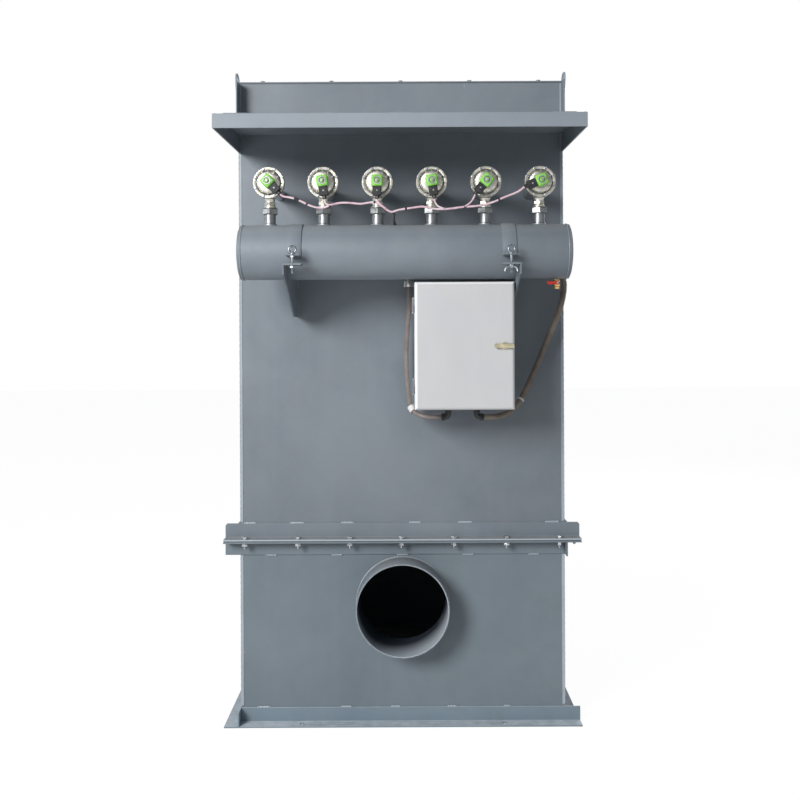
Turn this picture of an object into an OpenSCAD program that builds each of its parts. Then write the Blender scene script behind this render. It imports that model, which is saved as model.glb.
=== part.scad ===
// Pulse-jet bag dust collector: a square sheet-steel cabinet, open below, with an air tank,
// six pulse valves, a rain hood and a control box on its front.
// X runs to the right, Y to the back and Z up. The origin is the centre of the base, on the
// underside of the base flange.

/* [Cabinet] */
// Outside width of the cabinet
body_w = 1060; // [1000:10:1300]
// Outside depth of the cabinet
body_d = 1060; // [880:10:1300]
// Height from the ground to the top of the cover
body_h = 2100; // [1900:10:2600]
// Height of the lower chamber, up to its flange
chamber_h = 600; // [500:10:720]
// Thickness of the wall sheet
sheet = 4; // [3:0.5:6]
// Thickness of the rubber gaskets
gasket_t = 3; // [2:0.5:5]

/* [Flanges] */
// Leg of the flange angles
leg = 50; // [40:1:60]
// Thickness of the flange angles
leg_t = 5; // [4:0.5:8]
// Diameter of the base bolt holes
base_hole_d = 14; // [9:1:18]
// Distance between the two base bolt holes on each side
base_hole_pitch = 660; // [400:10:800]
// Width of the cuts on the upper flange's free corners
corner_cut = 9; // [4:1:15]

/* [Inlet and outlet] */
// Outside diameter of the inlet collar
inlet_d = 300; // [200:5:360]
// Gap between the inlet and the flange above it
inlet_gap = 10; // [5:1:60]
// Length of the inlet collar in front of the wall
inlet_len = 105; // [60:5:160]
// Outside diameter of the outlet collar
outlet_d = 300; // [200:5:360]
// Drop from the top of the cover to the outlet's centre
outlet_drop = 235; // [200:5:290]
// Length of the outlet collar behind the wall
outlet_len = 90; // [60:5:160]
// Thickness of the collars
collar_t = 3; // [2:0.5:5]

/* [Filter] */
// Drop from the valves' centres to the top of the bag plate
plate_drop = 211; // [170:1:260]
// Thickness of the bag plate
plate_t = 6; // [4:1:10]
// Diameter of a filter bag
bag_d = 125; // [100:1:160]
// Least gap between neighbouring bags
bag_gap = 38; // [30:1:60]
// Length of a filter bag below the plate
bag_len = 830; // [500:10:1000]

/* [Rain hood] */
// Reach of the hood in front of the wall
hood_reach = 465; // [400:5:520]
// Height of the hood's front lip
hood_lip = 41; // [30:1:80]
// Drop from the top of the cover to the top of the lip
hood_drop = 205; // [170:1:240]
// Rise of the hood's roof from the lip to the wall
hood_rise = 35; // [10:1:40]
// Rise of the side plates' lower edges from the lip to the wall
cheek_rise = 12; // [0:1:30]
// Depth of the upstands that run on above the roof
upstand = 60; // [30:1:90]

/* [Air tank] */
// Outside diameter of the air tank
tank_d = 165; // [135:1:200]
// Length of the tank's shell beyond its outer pipes
tank_over = 80; // [65:1:115]
// Thickness of the tank's shell
tank_t = 5; // [4:0.5:8]
// Thickness of the tank's end plates
tank_end_t = 8; // [5:1:12]
// Distance of the tank's centre line from the wall
tank_out = 250; // [205:1:300]
// Offset of the tank and valves to the right of the cabinet's centre
gear_x = 12; // [-10:1:20]
// Offset of the brackets to the right of the cabinet's centre
bracket_x = 3.5; // [0:0.5:10]
// Thickness of the bracket plates
bracket_t = 5; // [4:1:8]
// Width of the tank straps
strap_w = 42; // [30:1:55]
// Thickness of the tank straps
strap_t = 3; // [2:0.5:5]

/* [Pulse valves] */
// Distance between neighbouring valves
valve_pitch = 163; // [135:1:200]
// Drop from the top of the cover to the valves' centres
valve_drop = 373; // [320:1:440]
// Length of pipe that shows between the tank and the union nuts
pipe_show = 31.5; // [20:0.5:60]
// Outside diameter of the valves' flanges
valve_d = 94; // [80:1:112]
// Outside diameter of the pipes
pipe_d = 33.7; // [26.9:0.1:40]
// Width of the union nuts across their flats
nut_af = 46; // [44:1:55]
// Height of the union nuts
nut_h = 21; // [15:1:30]

/* [Control box] */
// Width of the control box
box_w = 300; // [250:1:400]
// Height of the control box
box_h = 385; // [300:1:500]
// Depth of the control box with its door
box_d = 285; // [220:1:330]
// Thickness of the control box's sheet
box_t = 1.6; // [1.2:0.1:2.5]
// Depth of the door
door_d = 22; // [18:1:30]
// Radius of the door's folded edges
door_r = 9; // [5:1:12]
// Gap between the control box and the right bracket
box_side_gap = 5; // [3:0.5:40]
// Gap between the tank and the control box below it
box_top_gap = 9.5; // [5:0.5:60]

/* [Hidden] */

$fn = 64;
eps = 0.05;
// Running clearance round a pipe in its hole
fit = 0.3;
// Gap between the strips of a gasket or a frame
strip_gap = 0.4;

wall_front = -body_d / 2;
wall_back = body_d / 2;
inside_w = body_w - 2 * sheet;
inside_d = body_d - 2 * sheet;

// Levels, from the ground up
inlet_z = chamber_h - leg - inlet_gap - inlet_d / 2;
housing_z = chamber_h + gasket_t;
cover_t = 4;
cover_z = body_h - cover_t;
wall_top = cover_z - gasket_t;
outlet_z = body_h - outlet_drop;
valve_z = body_h - valve_drop;
plate_top = valve_z - plate_drop;

// Hood
lip_top = body_h - hood_drop;
lip_bottom = lip_top - hood_lip;
roof_back = lip_top + hood_rise;
cheek_bottom = lip_bottom + cheek_rise;

// Frame of flat bar under the cover
frame_w = 40;
frame_t = 5;

// Bags hang from the plate on collars, as many as fit
bags_x = floor(inside_w / (bag_d + bag_gap));
bags_y = floor(inside_d / (bag_d + bag_gap));
bag_edge = 0.45;
bag_pitch_x = inside_w / (bags_x + bag_edge);
bag_pitch_y = inside_d / (bags_y + bag_edge);
collar_rim = 6;
collar_rim_t = 3;

// Pulse gear
valve_n = 6;
tank_y = wall_front - tank_out;
tank_r = tank_d / 2;
tank_len = (valve_n - 1) * valve_pitch + 2 * tank_over;
pipe_r = pipe_d / 2;
pipe_t = 3.2;
neck_r = 21;
neck_drop = 73;
neck_z = valve_z - neck_drop;
tank_z = neck_z - nut_h - pipe_show - tank_r;
flange_t = 13;
flange_y = tank_y - 12;
body_r = valve_d / 2 - 8;
body_front = tank_y - 24;
body_back = tank_y + 35;
socket_t = 6;
socket_rim = 5;
cover_y = flange_y - flange_t;
cover_rim_t = 9;
cover_front_t = 20;
cover_step = 12;
blow_end = 55;
blow_len = wall_back - sheet - blow_end - body_back;
// Turn of each coil plug from straight down, to the right, in degrees
plug_turn = [45, 8, 0, 8, -40, -68];
coil_y = cover_y - cover_front_t;
coil_w = 33;
coil_len = 32;
coil_nut_t = 7;
plug_w = 26;
plug_len = 28;
plug_deep = 23;
plug_in = 4;
plug_y = -coil_len + plug_in + plug_deep / 2;
gland_r = 6;
gland_len = 10;

// Tank brackets and straps
bracket_pitch = (valve_n - 2) * valve_pitch + strap_w - 4;
bracket_top = tank_z - 42;
bracket_h = 148;
tab_w = 50;
tab_d = 48;
tab_gap = 9.5;
bracket_reach = tank_r + tab_gap + tab_d;
strap_tab_z = tank_z - 19;
strap_inset = 6;
strap_x = bracket_pitch / 2 - bracket_t / 2 - 3 - strap_w / 2;

// Control box
rail_w = 240;
rail_d = 35;
rail_h = 30;
rail_inset = 35;
box_right = bracket_x + (bracket_pitch - bracket_t) / 2 - box_side_gap;
box_left = box_right - box_w;
box_z = tank_z - tank_r - box_top_gap - box_h;
box_back = wall_front - rail_d;
seam_y = wall_front - box_d + door_d;
door_front = seam_y - door_d;
hinge_r = 4;
hinge_x = box_left - hinge_r - 0.5;
hinge_h = 44;
hinge_inset = 70;
hinge_leaf = 3;
lock_x = box_right - 31;
lock_z = box_z + box_h / 2;
lock_r = 11;
lock_base_t = 6;
lock_t = 14;
lever_w = 14;
lever_len = 60;
lever_t = 5;

// Drain valve
drain_x = gear_x + tank_len / 2 - 27.5;
drain_r = 8;
ball_z = tank_z - tank_r - 13;
ball_af = 20;
ball_h = 18;
spout = 9;
stem_r = 4;
lever_y = tank_y - ball_af / 2 - 9;
drain_lever_len = 32;
drain_lever_t = 3;

// Lifting eyes
eye_bar = 3.5;
eye_r = 30;
eye_foot = 80;
eye_rise = 7;
eye_lean = 3.5;
eye_inset = 48;

// Conduit fittings
reducer_r = 11.5;
reducer_len = 23;
reducer_x = box_left - 16;
reducer_z = box_z + box_h - 3;
conduit_out = 47;
clip_w = 18;
clip_h = 12;
bend_r = 11;
bend_len = 22;
gland_nut_d = 32;
gland_nut_t = 8;
gland_drop = 33;
gland_y = box_back - 94;
left_gland_x = box_left + 83.5;
right_gland_x = box_right - 82.5;
wall_fitting_x = body_w / 2 - 20;
wall_fitting_out = 45;
wall_fitting_z = tank_z - 2;
wall_fitting_r = 13;
// Gap between a fitting and the end of its conduit
end_gap = 1;

// Routes of the cords
wiring_d = 7;
drop_d = 9;
left_d = 14;
right_d = 17;
wiring = [
    [-356.5, -841.5, 1688], [-347, -842, 1681], [-333, -843, 1679], [-314, -843, 1674],
    [-292, -843, 1665], [-270, -843, 1654], [-248, -842, 1648], [-226, -842, 1648],
    [-204, -842, 1656], [-180, -842, 1661], [-148, -842, 1661], [-118, -842, 1658],
    [-92, -842, 1662], [-72, -842, 1662], [-50, -842, 1648], [-28, -842, 1634],
    [-4, -842, 1640], [24, -842, 1644], [62, -842, 1649], [92, -842, 1644],
    [124, -842, 1641], [158, -842, 1644], [192, -842, 1648], [226, -842, 1650],
    [258, -842, 1656], [282, -842, 1664], [304, -842, 1674], [328, -842, 1683],
    [351, -842, 1693], [368, -841.5, 1705.8]
];
drop = [
    [-20, -838, 1630], [-20, -829, 1617], [-20, -817, 1609], [-19, -796, 1606],
    [-18, -770, 1607], [-16, -744, 1603], [-13, -718, 1592], [-9, -694, 1574],
    [-4, -674, 1550], [2, -654, 1524], [10, -629, 1503], [18, -602, 1486],
    [23, -585, 1471], [25, -579, 1459], [25, -577, 1447]
];
left_run = [
    [25, -577, 1424], [25, -577, 1386], [24, -578, 1348], [20, -579, 1304],
    [17, -579, 1260], [15, -580, 1216], [15, -582, 1172], [17, -585, 1130],
    [20, -591, 1092], [25, -601, 1056], [33, -614, 1031], [50, -632, 1017],
    [74, -648, 1010], [101, -658, 1009], [124.5, -659, 1009]
];
right_run = [
    [510, -575, 1517], [514, -577, 1488], [521, -582, 1458], [525, -587, 1424],
    [519, -591, 1382], [506, -593, 1338], [487, -594, 1292], [464, -595, 1238],
    [441, -596, 1183], [417, -599, 1130], [393, -608, 1082], [366, -622, 1042],
    [331, -644, 1017], [293, -657, 1009], [258.5, -659, 1009]
];

function half_of(side) = side % 2 == 0 ? body_d / 2 : body_w / 2;
function across(side) = side % 2 == 0 ? body_w : body_d;
function valve_x(i) = gear_x + (i - (valve_n - 1) / 2) * valve_pitch;

// Puts what faces the front on one of the four sides: 0 front, 1 right, 2 back, 3 left
module on_side(side) {
    rotate([0, 0, 90 * side])
        translate([0, -half_of(side), 0])
            children();
}

// An outline drawn as [out from the front wall, height], made into a plate across X
module side_plate(x, thick) {
    translate([x + thick / 2, wall_front, 0])
        rotate([90, 0, -90])
            linear_extrude(thick)
                children();
}

// Cylinder along Y, from y to y + length
module rod_y(x, y, z, r, length) {
    translate([x, y + length, z])
        rotate([90, 0, 0])
            cylinder(r = r, h = length);
}

// Cylinder along X, from x to x + length
module rod_x(x, y, z, r, length) {
    translate([x, y, z])
        rotate([0, 90, 0])
            cylinder(r = r, h = length);
}

// Angle bar along X: one leg up the wall from z = 0, the other out along the ground
module angle_bar(x_from, x_to) {
    translate([x_from, 0, 0])
        rotate([90, 0, 90])
            linear_extrude(x_to - x_from)
                polygon([
                    [0, 0], [-leg, 0], [-leg, leg_t],
                    [-leg_t, leg_t], [-leg_t, leg], [0, leg]
                ]);
}

// Four straight strips that ring the cabinet, each meeting the next end to side
module strip_ring(outer_w, outer_d, width, thick) {
    for (side = [0:3]) {
        span = side % 2 == 0 ? outer_w : outer_d;
        out = side % 2 == 0 ? outer_d / 2 : outer_w / 2;
        rotate([0, 0, 90 * side])
            translate([-span / 2 + width + strip_gap, -out, 0])
                cube([span - width - strip_gap, width, thick]);
    }
}

// Round tube swept along a route, with its rings square to a fixed side direction
function unit(v) = v / norm(v);
function heading(route, i) =
    unit(route[min(i + 1, len(route) - 1)] - route[max(i - 1, 0)]);
function ring(centre, along, aside, r, sides) =
    let (a = unit(cross(along, aside)), b = cross(along, a))
    [for (k = [0:sides - 1])
        centre + r * (cos(360 * k / sides) * a + sin(360 * k / sides) * b)];
// One more point between each two, on a smooth curve through them
function between(route, i) =
    let (
        last = len(route) - 1,
        p0 = route[max(i - 1, 0)],
        p1 = route[i],
        p2 = route[i + 1],
        p3 = route[min(i + 2, last)]
    )
    (9 * (p1 + p2) - p0 - p3) / 16;
function finer(route) = [
    for (i = [0:len(route) - 2])
        for (p = [route[i], between(route, i)]) p,
    route[len(route) - 1]
];

module tube(route, r, aside, sides = 8) {
    n = len(route);
    points = [
        for (i = [0:n - 1])
            for (p = ring(route[i], heading(route, i), aside, r, sides)) p
    ];
    walls = [
        for (i = [0:n - 2])
            for (k = [0:sides - 1])
                let (m = (k + 1) % sides)
                [i * sides + k, i * sides + m, (i + 1) * sides + m, (i + 1) * sides + k]
    ];
    start = [[for (k = [sides - 1:-1:0]) k]];
    end = [[for (k = [0:sides - 1]) (n - 1) * sides + k]];
    polyhedron(points, concat(walls, start, end), convexity = 10);
}

// ---- Base ----

// Base angle of one side: it covers the corner on its right and stops at the one on its left
module base_flange(side) {
    color("slategray")
        on_side(side)
            difference() {
                angle_bar(-across(side) / 2, across(side) / 2 + leg);
                for (x = [-1, 1])
                    translate([x * base_hole_pitch / 2, -(leg + leg_t) / 2, -eps])
                        cylinder(d = base_hole_d, h = leg_t + 2 * eps);
            }
}

// ---- Lower chamber ----

module chamber_front() {
    color("slategray")
        difference() {
            translate([-body_w / 2, wall_front, 0])
                cube([body_w, sheet, chamber_h]);
            rod_y(0, wall_front - eps, inlet_z, inlet_d / 2 - collar_t, sheet + 2 * eps);
        }
}

module chamber_back() {
    color("slategray")
        translate([-body_w / 2, wall_back - sheet, 0])
            cube([body_w, sheet, chamber_h]);
}

module chamber_side(dir) {
    color("slategray")
        translate([dir > 0 ? body_w / 2 - sheet : -body_w / 2, wall_front + sheet, 0])
            cube([sheet, inside_d, chamber_h]);
}

module inlet_collar() {
    color("slategray")
        difference() {
            rod_y(0, wall_front - inlet_len, inlet_z, inlet_d / 2, inlet_len);
            rod_y(0, wall_front - inlet_len - eps, inlet_z, inlet_d / 2 - collar_t,
                inlet_len + 2 * eps);
        }
}

// ---- Middle flange ----

// Angle hanging under the joint: it stops at the right corner and covers the left one
module lower_flange(side) {
    color("slategray")
        on_side(side)
            translate([0, 0, chamber_h])
                mirror([0, 0, 1])
                    angle_bar(-across(side) / 2 - leg, across(side) / 2);
}

module flange_gasket() {
    color("dimgray")
        translate([0, 0, chamber_h])
            strip_ring(body_w + 2 * leg - 6, body_d + 2 * leg - 6, leg + sheet - 3, gasket_t);
}

// Angle standing on the joint: full width in front and behind, between them at the sides
module upper_flange(side) {
    in_front = side % 2 == 0;
    end = across(side) / 2 + (in_front ? leg : 0);
    color("slategray")
        on_side(side)
            translate([0, 0, housing_z])
                difference() {
                    angle_bar(-end, end);
                    for (x = in_front ? [-end, end] : [])
                        translate([x, -leg_t - eps, leg])
                            rotate([0, 45, 0])
                                translate([-corner_cut / 2, 0, -corner_cut / 2])
                                    cube([corner_cut, leg_t + 2 * eps, corner_cut]);
                }
}

// ---- Bag house ----

module housing_front() {
    color("slategray")
        difference() {
            translate([-body_w / 2, wall_front, housing_z])
                cube([body_w, sheet, wall_top - housing_z]);
            for (i = [0:valve_n - 1])
                rod_y(valve_x(i), wall_front - eps, valve_z, pipe_r + fit, sheet + 2 * eps);
        }
}

module housing_back() {
    color("slategray")
        difference() {
            translate([-body_w / 2, wall_back - sheet, housing_z])
                cube([body_w, sheet, wall_top - housing_z]);
            rod_y(0, wall_back - sheet - eps, outlet_z, outlet_d / 2 - collar_t,
                sheet + 2 * eps);
        }
}

module housing_side(dir) {
    color("slategray")
        translate([dir > 0 ? body_w / 2 - sheet : -body_w / 2, wall_front + sheet, housing_z])
            cube([sheet, inside_d, wall_top - housing_z]);
}

module each_bag() {
    for (i = [0:bags_x - 1])
        for (j = [0:bags_y - 1])
            translate([
                (i - (bags_x - 1) / 2) * bag_pitch_x, (j - (bags_y - 1) / 2) * bag_pitch_y, 0
            ])
                children();
}

module bag_plate() {
    color("slategray")
        difference() {
            translate([-inside_w / 2, -inside_d / 2, plate_top - plate_t])
                cube([inside_w, inside_d, plate_t]);
            translate([0, 0, plate_top - plate_t - eps])
                each_bag()
                    cylinder(d = bag_d + 2 * fit, h = plate_t + 2 * eps, $fn = 32);
        }
}

// Each bag hangs in its hole on a rim that lies on the plate
module filter_bags() {
    color("ivory")
        translate([0, 0, plate_top])
            each_bag() {
                translate([0, 0, -plate_t - bag_len])
                    cylinder(d = bag_d, h = bag_len + plate_t + eps, $fn = 32);
                cylinder(r = bag_d / 2 + collar_rim, h = collar_rim_t, $fn = 32);
            }
}

// Pipes from the valves through the front wall and on above the rows of bags
module blow_pipes() {
    color("silver")
        for (i = [0:valve_n - 1])
            difference() {
                rod_y(valve_x(i), body_back, valve_z, pipe_r, blow_len);
                rod_y(valve_x(i), body_back - eps, valve_z, pipe_r - pipe_t,
                    blow_len - pipe_t + eps);
            }
}

module outlet_collar() {
    color("slategray")
        difference() {
            rod_y(0, wall_back, outlet_z, outlet_d / 2, outlet_len);
            rod_y(0, wall_back - eps, outlet_z, outlet_d / 2 - collar_t, outlet_len + 2 * eps);
        }
}

// ---- Top ----

module top_frame() {
    color("slategray")
        translate([0, 0, wall_top - frame_t])
            strip_ring(inside_w, inside_d, frame_w, frame_t);
}

module top_gasket() {
    color("black")
        translate([0, 0, wall_top])
            strip_ring(body_w - 4, body_d - 4, frame_w, gasket_t);
}

module top_cover() {
    color("slategray")
        translate([-body_w / 2, wall_front, cover_z])
            cube([body_w, body_d, cover_t]);
}

// Roof sheet between the side plates, with a lip of full width folded down in front
module hood_roof() {
    color("slategray") {
        side_plate(0, body_w - 2 * sheet)
            polygon([
                [0, roof_back], [0, roof_back - sheet],
                [hood_reach - sheet, lip_top - sheet], [hood_reach - sheet, lip_top]
            ]);
        translate([-body_w / 2, wall_front - hood_reach, lip_bottom])
            cube([body_w, sheet, hood_lip]);
    }
}

module hood_cheeks() {
    color("slategray")
        for (x = [-1, 1])
            side_plate(x * (body_w - sheet) / 2, sheet)
                polygon([
                    [0, cheek_bottom], [hood_reach - sheet, lip_bottom],
                    [hood_reach - sheet, lip_top], [upstand, roof_back], [upstand, wall_top],
                    [0, wall_top]
                ]);
}

// Bent-bar eye on a pad: two legs and a round top, leaning outward
module lifting_eye() {
    translate([0, -eye_r - eye_bar - 4, body_h - eye_foot - 20])
        cube([4, 2 * (eye_r + eye_bar + 4), 50]);
    translate([3 + eye_bar, 0, body_h - eye_foot])
        rotate([0, eye_lean, 0]) {
            for (s = [-1, 1])
                translate([0, s * eye_r, -15])
                    cylinder(r = eye_bar, h = eye_foot + eye_rise + 15);
            translate([0, 0, eye_foot + eye_rise])
                rotate([90, 0, 90])
                    rotate_extrude(angle = 180)
                        translate([eye_r, 0])
                            circle(r = eye_bar);
        }
}

module lifting_eyes() {
    $fn = 32;
    color("lightslategray")
        for (x = [0, 1])
            for (y = [-1, 1])
                mirror([x, 0, 0])
                    translate([body_w / 2, y * (body_d / 2 - eye_inset), 0])
                        lifting_eye();
}

// ---- Air tank ----

module air_tank() {
    color("slategray")
        difference() {
            rod_x(gear_x - tank_len / 2, tank_y, tank_z, tank_r, tank_len);
            rod_x(gear_x - tank_len / 2 - eps, tank_y, tank_z, tank_r - tank_t,
                tank_len + 2 * eps);
            for (i = [0:valve_n - 1])
                translate([valve_x(i), tank_y, tank_z])
                    cylinder(r = pipe_r + fit, h = tank_r + 10);
            translate([drain_x, tank_y, tank_z - tank_r - 10])
                cylinder(r = drain_r + fit, h = tank_r);
        }
}

module tank_ends() {
    color("slategray")
        for (s = [-1, 1])
            translate([gear_x + s * (tank_len / 2 + tank_end_t / 2), tank_y, tank_z])
                rotate([0, 90, 0])
                    cylinder(r = tank_r, h = tank_end_t, center = true);
}

// Bracket plate with a cradle for the tank and a tab to each side of it
module tank_bracket() {
    difference() {
        side_plate(0, bracket_t)
            polygon([
                [0, bracket_top - bracket_h], [tank_out - 144, bracket_top - 150],
                [tank_out + 31, bracket_top - 68],
                [tank_out + bracket_reach - 10, bracket_top - 32],
                [tank_out + bracket_reach, bracket_top], [0, bracket_top]
            ]);
        rod_x(-bracket_t, tank_y, tank_z, tank_r + fit, 2 * bracket_t);
    }
    for (y = [-bracket_reach, bracket_reach - tab_d])
        translate([bracket_t / 2 - eps, tank_y + y, bracket_top - bracket_t])
            cube([tab_w + eps, tab_d, bracket_t]);
}

module tank_brackets() {
    color("slategray") {
        translate([bracket_x - bracket_pitch / 2, 0, 0])
            tank_bracket();
        translate([bracket_x + bracket_pitch / 2, 0, 0])
            mirror([1, 0, 0])
                tank_bracket();
    }
}

// Strap over the tank: a tab in front, half a ring, and a foot on the rear tab
module tank_strap(x) {
    inner = tank_r + fit;
    outer = inner + strap_t;
    translate([x - strap_w / 2, tank_y, tank_z])
        rotate([90, 0, 90])
            difference() {
                cylinder(r = outer, h = strap_w);
                translate([0, 0, -eps])
                    cylinder(r = inner, h = strap_w + 2 * eps);
                translate([-outer - 1, -outer - 1, -eps])
                    cube([2 * outer + 2, outer + 1, strap_w + 2 * eps]);
            }
    translate([x - strap_w / 2, tank_y, 0]) {
        translate([0, strap_inset - bracket_reach, strap_tab_z])
            cube([strap_w, bracket_reach - strap_inset - inner - strap_t + 1, strap_t]);
        translate([0, -outer, strap_tab_z])
            cube([strap_w, strap_t, tank_z - strap_tab_z]);
        translate([0, inner, bracket_top])
            cube([strap_w, strap_t, tank_z - bracket_top]);
        translate([0, inner, bracket_top])
            cube([strap_w, bracket_reach - inner, strap_t]);
    }
}

module tank_straps() {
    color("slategray")
        for (s = [-1, 1])
            tank_strap(bracket_x + s * strap_x);
}

// ---- Pulse valves ----

module riser_pipes() {
    color("silver")
        for (i = [0:valve_n - 1])
            translate([valve_x(i), tank_y, tank_z + tank_r - tank_t])
                difference() {
                    cylinder(r = pipe_r, h = neck_z - tank_z - tank_r + tank_t);
                    translate([0, 0, -eps])
                        cylinder(r = pipe_r - pipe_t, h = neck_z - tank_z + 2 * eps);
                }
}

module union_nuts() {
    color("silver")
        for (i = [0:valve_n - 1])
            translate([valve_x(i), tank_y, neck_z - nut_h])
                difference() {
                    cylinder(d = nut_af / cos(30), h = nut_h, $fn = 6);
                    translate([0, 0, -eps])
                        cylinder(r = pipe_r + fit, h = nut_h + 2 * eps);
                }
}

module valve_bodies() {
    color("gainsboro")
        for (i = [0:valve_n - 1]) {
            translate([valve_x(i), tank_y, neck_z])
                cylinder(r = neck_r, h = neck_drop);
            rod_y(valve_x(i), body_front, valve_z, body_r, body_back - 4 - body_front);
            rod_y(valve_x(i), body_back - socket_t, valve_z, pipe_r + socket_rim, socket_t);
            rod_y(valve_x(i), cover_y, valve_z, valve_d / 2, flange_t);
        }
}

// Stepped cover: a rim, and a raised middle that carries the coil
module valve_covers() {
    color("gainsboro")
        for (i = [0:valve_n - 1]) {
            rod_y(valve_x(i), cover_y - cover_rim_t, valve_z, valve_d / 2, cover_rim_t);
            rod_y(valve_x(i), coil_y, valve_z, valve_d / 2 - cover_step,
                cover_front_t - cover_rim_t + eps);
        }
}

// Frame of a coil: its plug's direction points down the local -Z
module at_coil(i) {
    translate([valve_x(i), coil_y, valve_z])
        rotate([0, -plug_turn[i], 0])
            children();
}

module coils() {
    color("yellowgreen")
        for (i = [0:valve_n - 1])
            at_coil(i) {
                translate([-coil_w / 2, -coil_len, -coil_w / 2])
                    cube([coil_w, coil_len, coil_w]);
                rod_y(0, -coil_len - coil_nut_t, 0, coil_nut_t, coil_nut_t + eps);
            }
}

module coil_plugs() {
    color("darkslategray")
        for (i = [0:valve_n - 1])
            at_coil(i) {
                translate([-plug_w / 2, -coil_len + plug_in, -coil_w / 2 - plug_len])
                    cube([plug_w, plug_deep, plug_len]);
                translate([0, plug_y, -coil_w / 2 - plug_len - gland_len])
                    cylinder(r = gland_r, h = gland_len + eps);
            }
}

// ---- Control box ----

module box_rails() {
    color("silver")
        for (z = [box_z + rail_inset, box_z + box_h - rail_inset - rail_h])
            translate([(box_left + box_right - rail_w) / 2, box_back, z])
                cube([rail_w, rail_d, rail_h]);
}

module box_case() {
    depth = box_back - seam_y - fit;
    color("whitesmoke") {
        difference() {
            translate([box_left, box_back - depth, box_z])
                cube([box_w, depth, box_h]);
            translate([box_left + box_t, box_back - depth - eps, box_z + box_t])
                cube([box_w - 2 * box_t, depth - box_t + eps, box_h - 2 * box_t]);
        }
        for (z = hinge_levels())
            hinge_half(z, 1);
    }
}

function hinge_levels() =
    [box_z + hinge_inset - hinge_h / 2, box_z + box_h - hinge_inset - hinge_h / 2];

// Half of a hinge: the case's half is the lower one, behind the seam
module hinge_half(z, dir) {
    z_from = dir > 0 ? z : z + hinge_h / 2 + fit;
    height = hinge_h / 2 - fit;
    translate([hinge_x, seam_y, z_from])
        cylinder(r = hinge_r, h = height, $fn = 32);
    translate([hinge_x, dir > 0 ? seam_y + 1 : seam_y - 1 - hinge_leaf, z_from])
        cube([box_left - hinge_x + eps, hinge_leaf, height]);
}

// Outline of the door's front edges: square at the seam, round at the face
module folded(width, depth, r) {
    translate([r, 0])
        square([width - 2 * r, depth]);
    translate([0, r])
        square([width, depth - r]);
    for (x = [r, width - r])
        translate([x, r])
            circle(r = r);
}

module door_shell(width, height, depth, r) {
    intersection() {
        linear_extrude(height)
            folded(width, depth, r);
        rotate([90, 0, 90])
            linear_extrude(width)
                rotate([0, 0, 90])
                    mirror([0, 1, 0])
                        folded(height, depth, r);
    }
}

// Hollow door with folded edges, and a boss for its lock
module box_door() {
    color("whitesmoke") {
        translate([box_left, door_front, box_z])
            difference() {
                door_shell(box_w, box_h, door_d, door_r);
                translate([box_t, box_t, box_t])
                    door_shell(box_w - 2 * box_t, box_h - 2 * box_t, door_d, door_r - box_t);
            }
        for (z = hinge_levels())
            hinge_half(z, -1);
    }
}

// Lock: a round boss on the door's face with a lever across it
module door_lock() {
    color("gold") {
        rod_y(lock_x, door_front - fit - lock_base_t, lock_z, lock_r, lock_base_t);
        rod_y(lock_x, door_front - fit - lock_t, lock_z, lock_r - 3, lock_t - lever_t);
        translate([lock_x - lever_len / 2 - 2, door_front - fit - lock_t, lock_z - lever_w / 2])
            cube([lever_len, lever_t, lever_w]);
    }
}

// ---- Conduit fittings, drain and cords ----

// A reducer on a clip, two bent glands under the box and a fitting on the wall
module conduit_fittings() {
    color("gainsboro") {
        translate([reducer_x, wall_front - conduit_out, reducer_z]) {
            translate([0, 0, end_gap])
                cylinder(r = reducer_r, h = reducer_len - 2 * end_gap);
            translate([-clip_w / 2, 6, (reducer_len - clip_h) / 2])
                cube([clip_w, conduit_out - 6, clip_h]);
        }
        bent_gland(left_gland_x, 1);
        bent_gland(right_gland_x, -1);
        translate([wall_fitting_x, wall_front - wall_fitting_out, wall_fitting_z + end_gap])
            cylinder(r = wall_fitting_r, h = 26);
        rod_y(wall_fitting_x, wall_front - wall_fitting_out, wall_fitting_z + 14, bend_r,
            wall_fitting_out);
    }
}

// Gland that takes a conduit from the side and turns it up into the box
module bent_gland(x, dir) {
    translate([x + dir * end_gap, gland_y, box_z - gland_drop])
        rotate([0, dir * 90, 0])
            cylinder(r = bend_r, h = bend_len - 7);
    translate([x + dir * bend_len, gland_y, box_z - gland_drop]) {
        sphere(r = bend_r);
        cylinder(r = bend_r, h = gland_drop);
        translate([0, 0, gland_drop - gland_nut_t])
            cylinder(d = gland_nut_d, h = gland_nut_t, $fn = 6);
    }
}

module drain_valve() {
    color("goldenrod") {
        translate([drain_x, tank_y, ball_z + ball_h / 2 - eps])
            cylinder(r = drain_r, h = tank_z - tank_r + tank_t - ball_z - ball_h / 2 + eps);
        translate([drain_x, tank_y, ball_z - ball_h / 2])
            cylinder(d = ball_af, h = ball_h, $fn = 6);
        translate([drain_x, tank_y, ball_z - ball_h / 2 - spout])
            cylinder(r = drain_r, h = spout + 1);
        rod_y(drain_x, lever_y + 0.5, ball_z, stem_r, tank_y - lever_y - 5);
    }
}

module drain_lever() {
    color("crimson") {
        rod_y(drain_x, lever_y - 5, ball_z, 6, 5);
        translate([drain_x - drain_lever_len, lever_y - 4, ball_z - 5])
            cube([drain_lever_len, drain_lever_t, 10]);
    }
}

module valve_wiring() {
    color("thistle")
        tube(finer(wiring), wiring_d / 2, [0, 1, 0]);
}

module wiring_drop() {
    color("dimgray")
        tube(drop, drop_d / 2, [1, 0, 0]);
}

module left_conduit() {
    color("gray")
        tube(left_run, left_d / 2, [0, 1, 0]);
}

module right_conduit() {
    color("gray")
        tube(right_run, right_d / 2, [0, 1, 0]);
}

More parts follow.
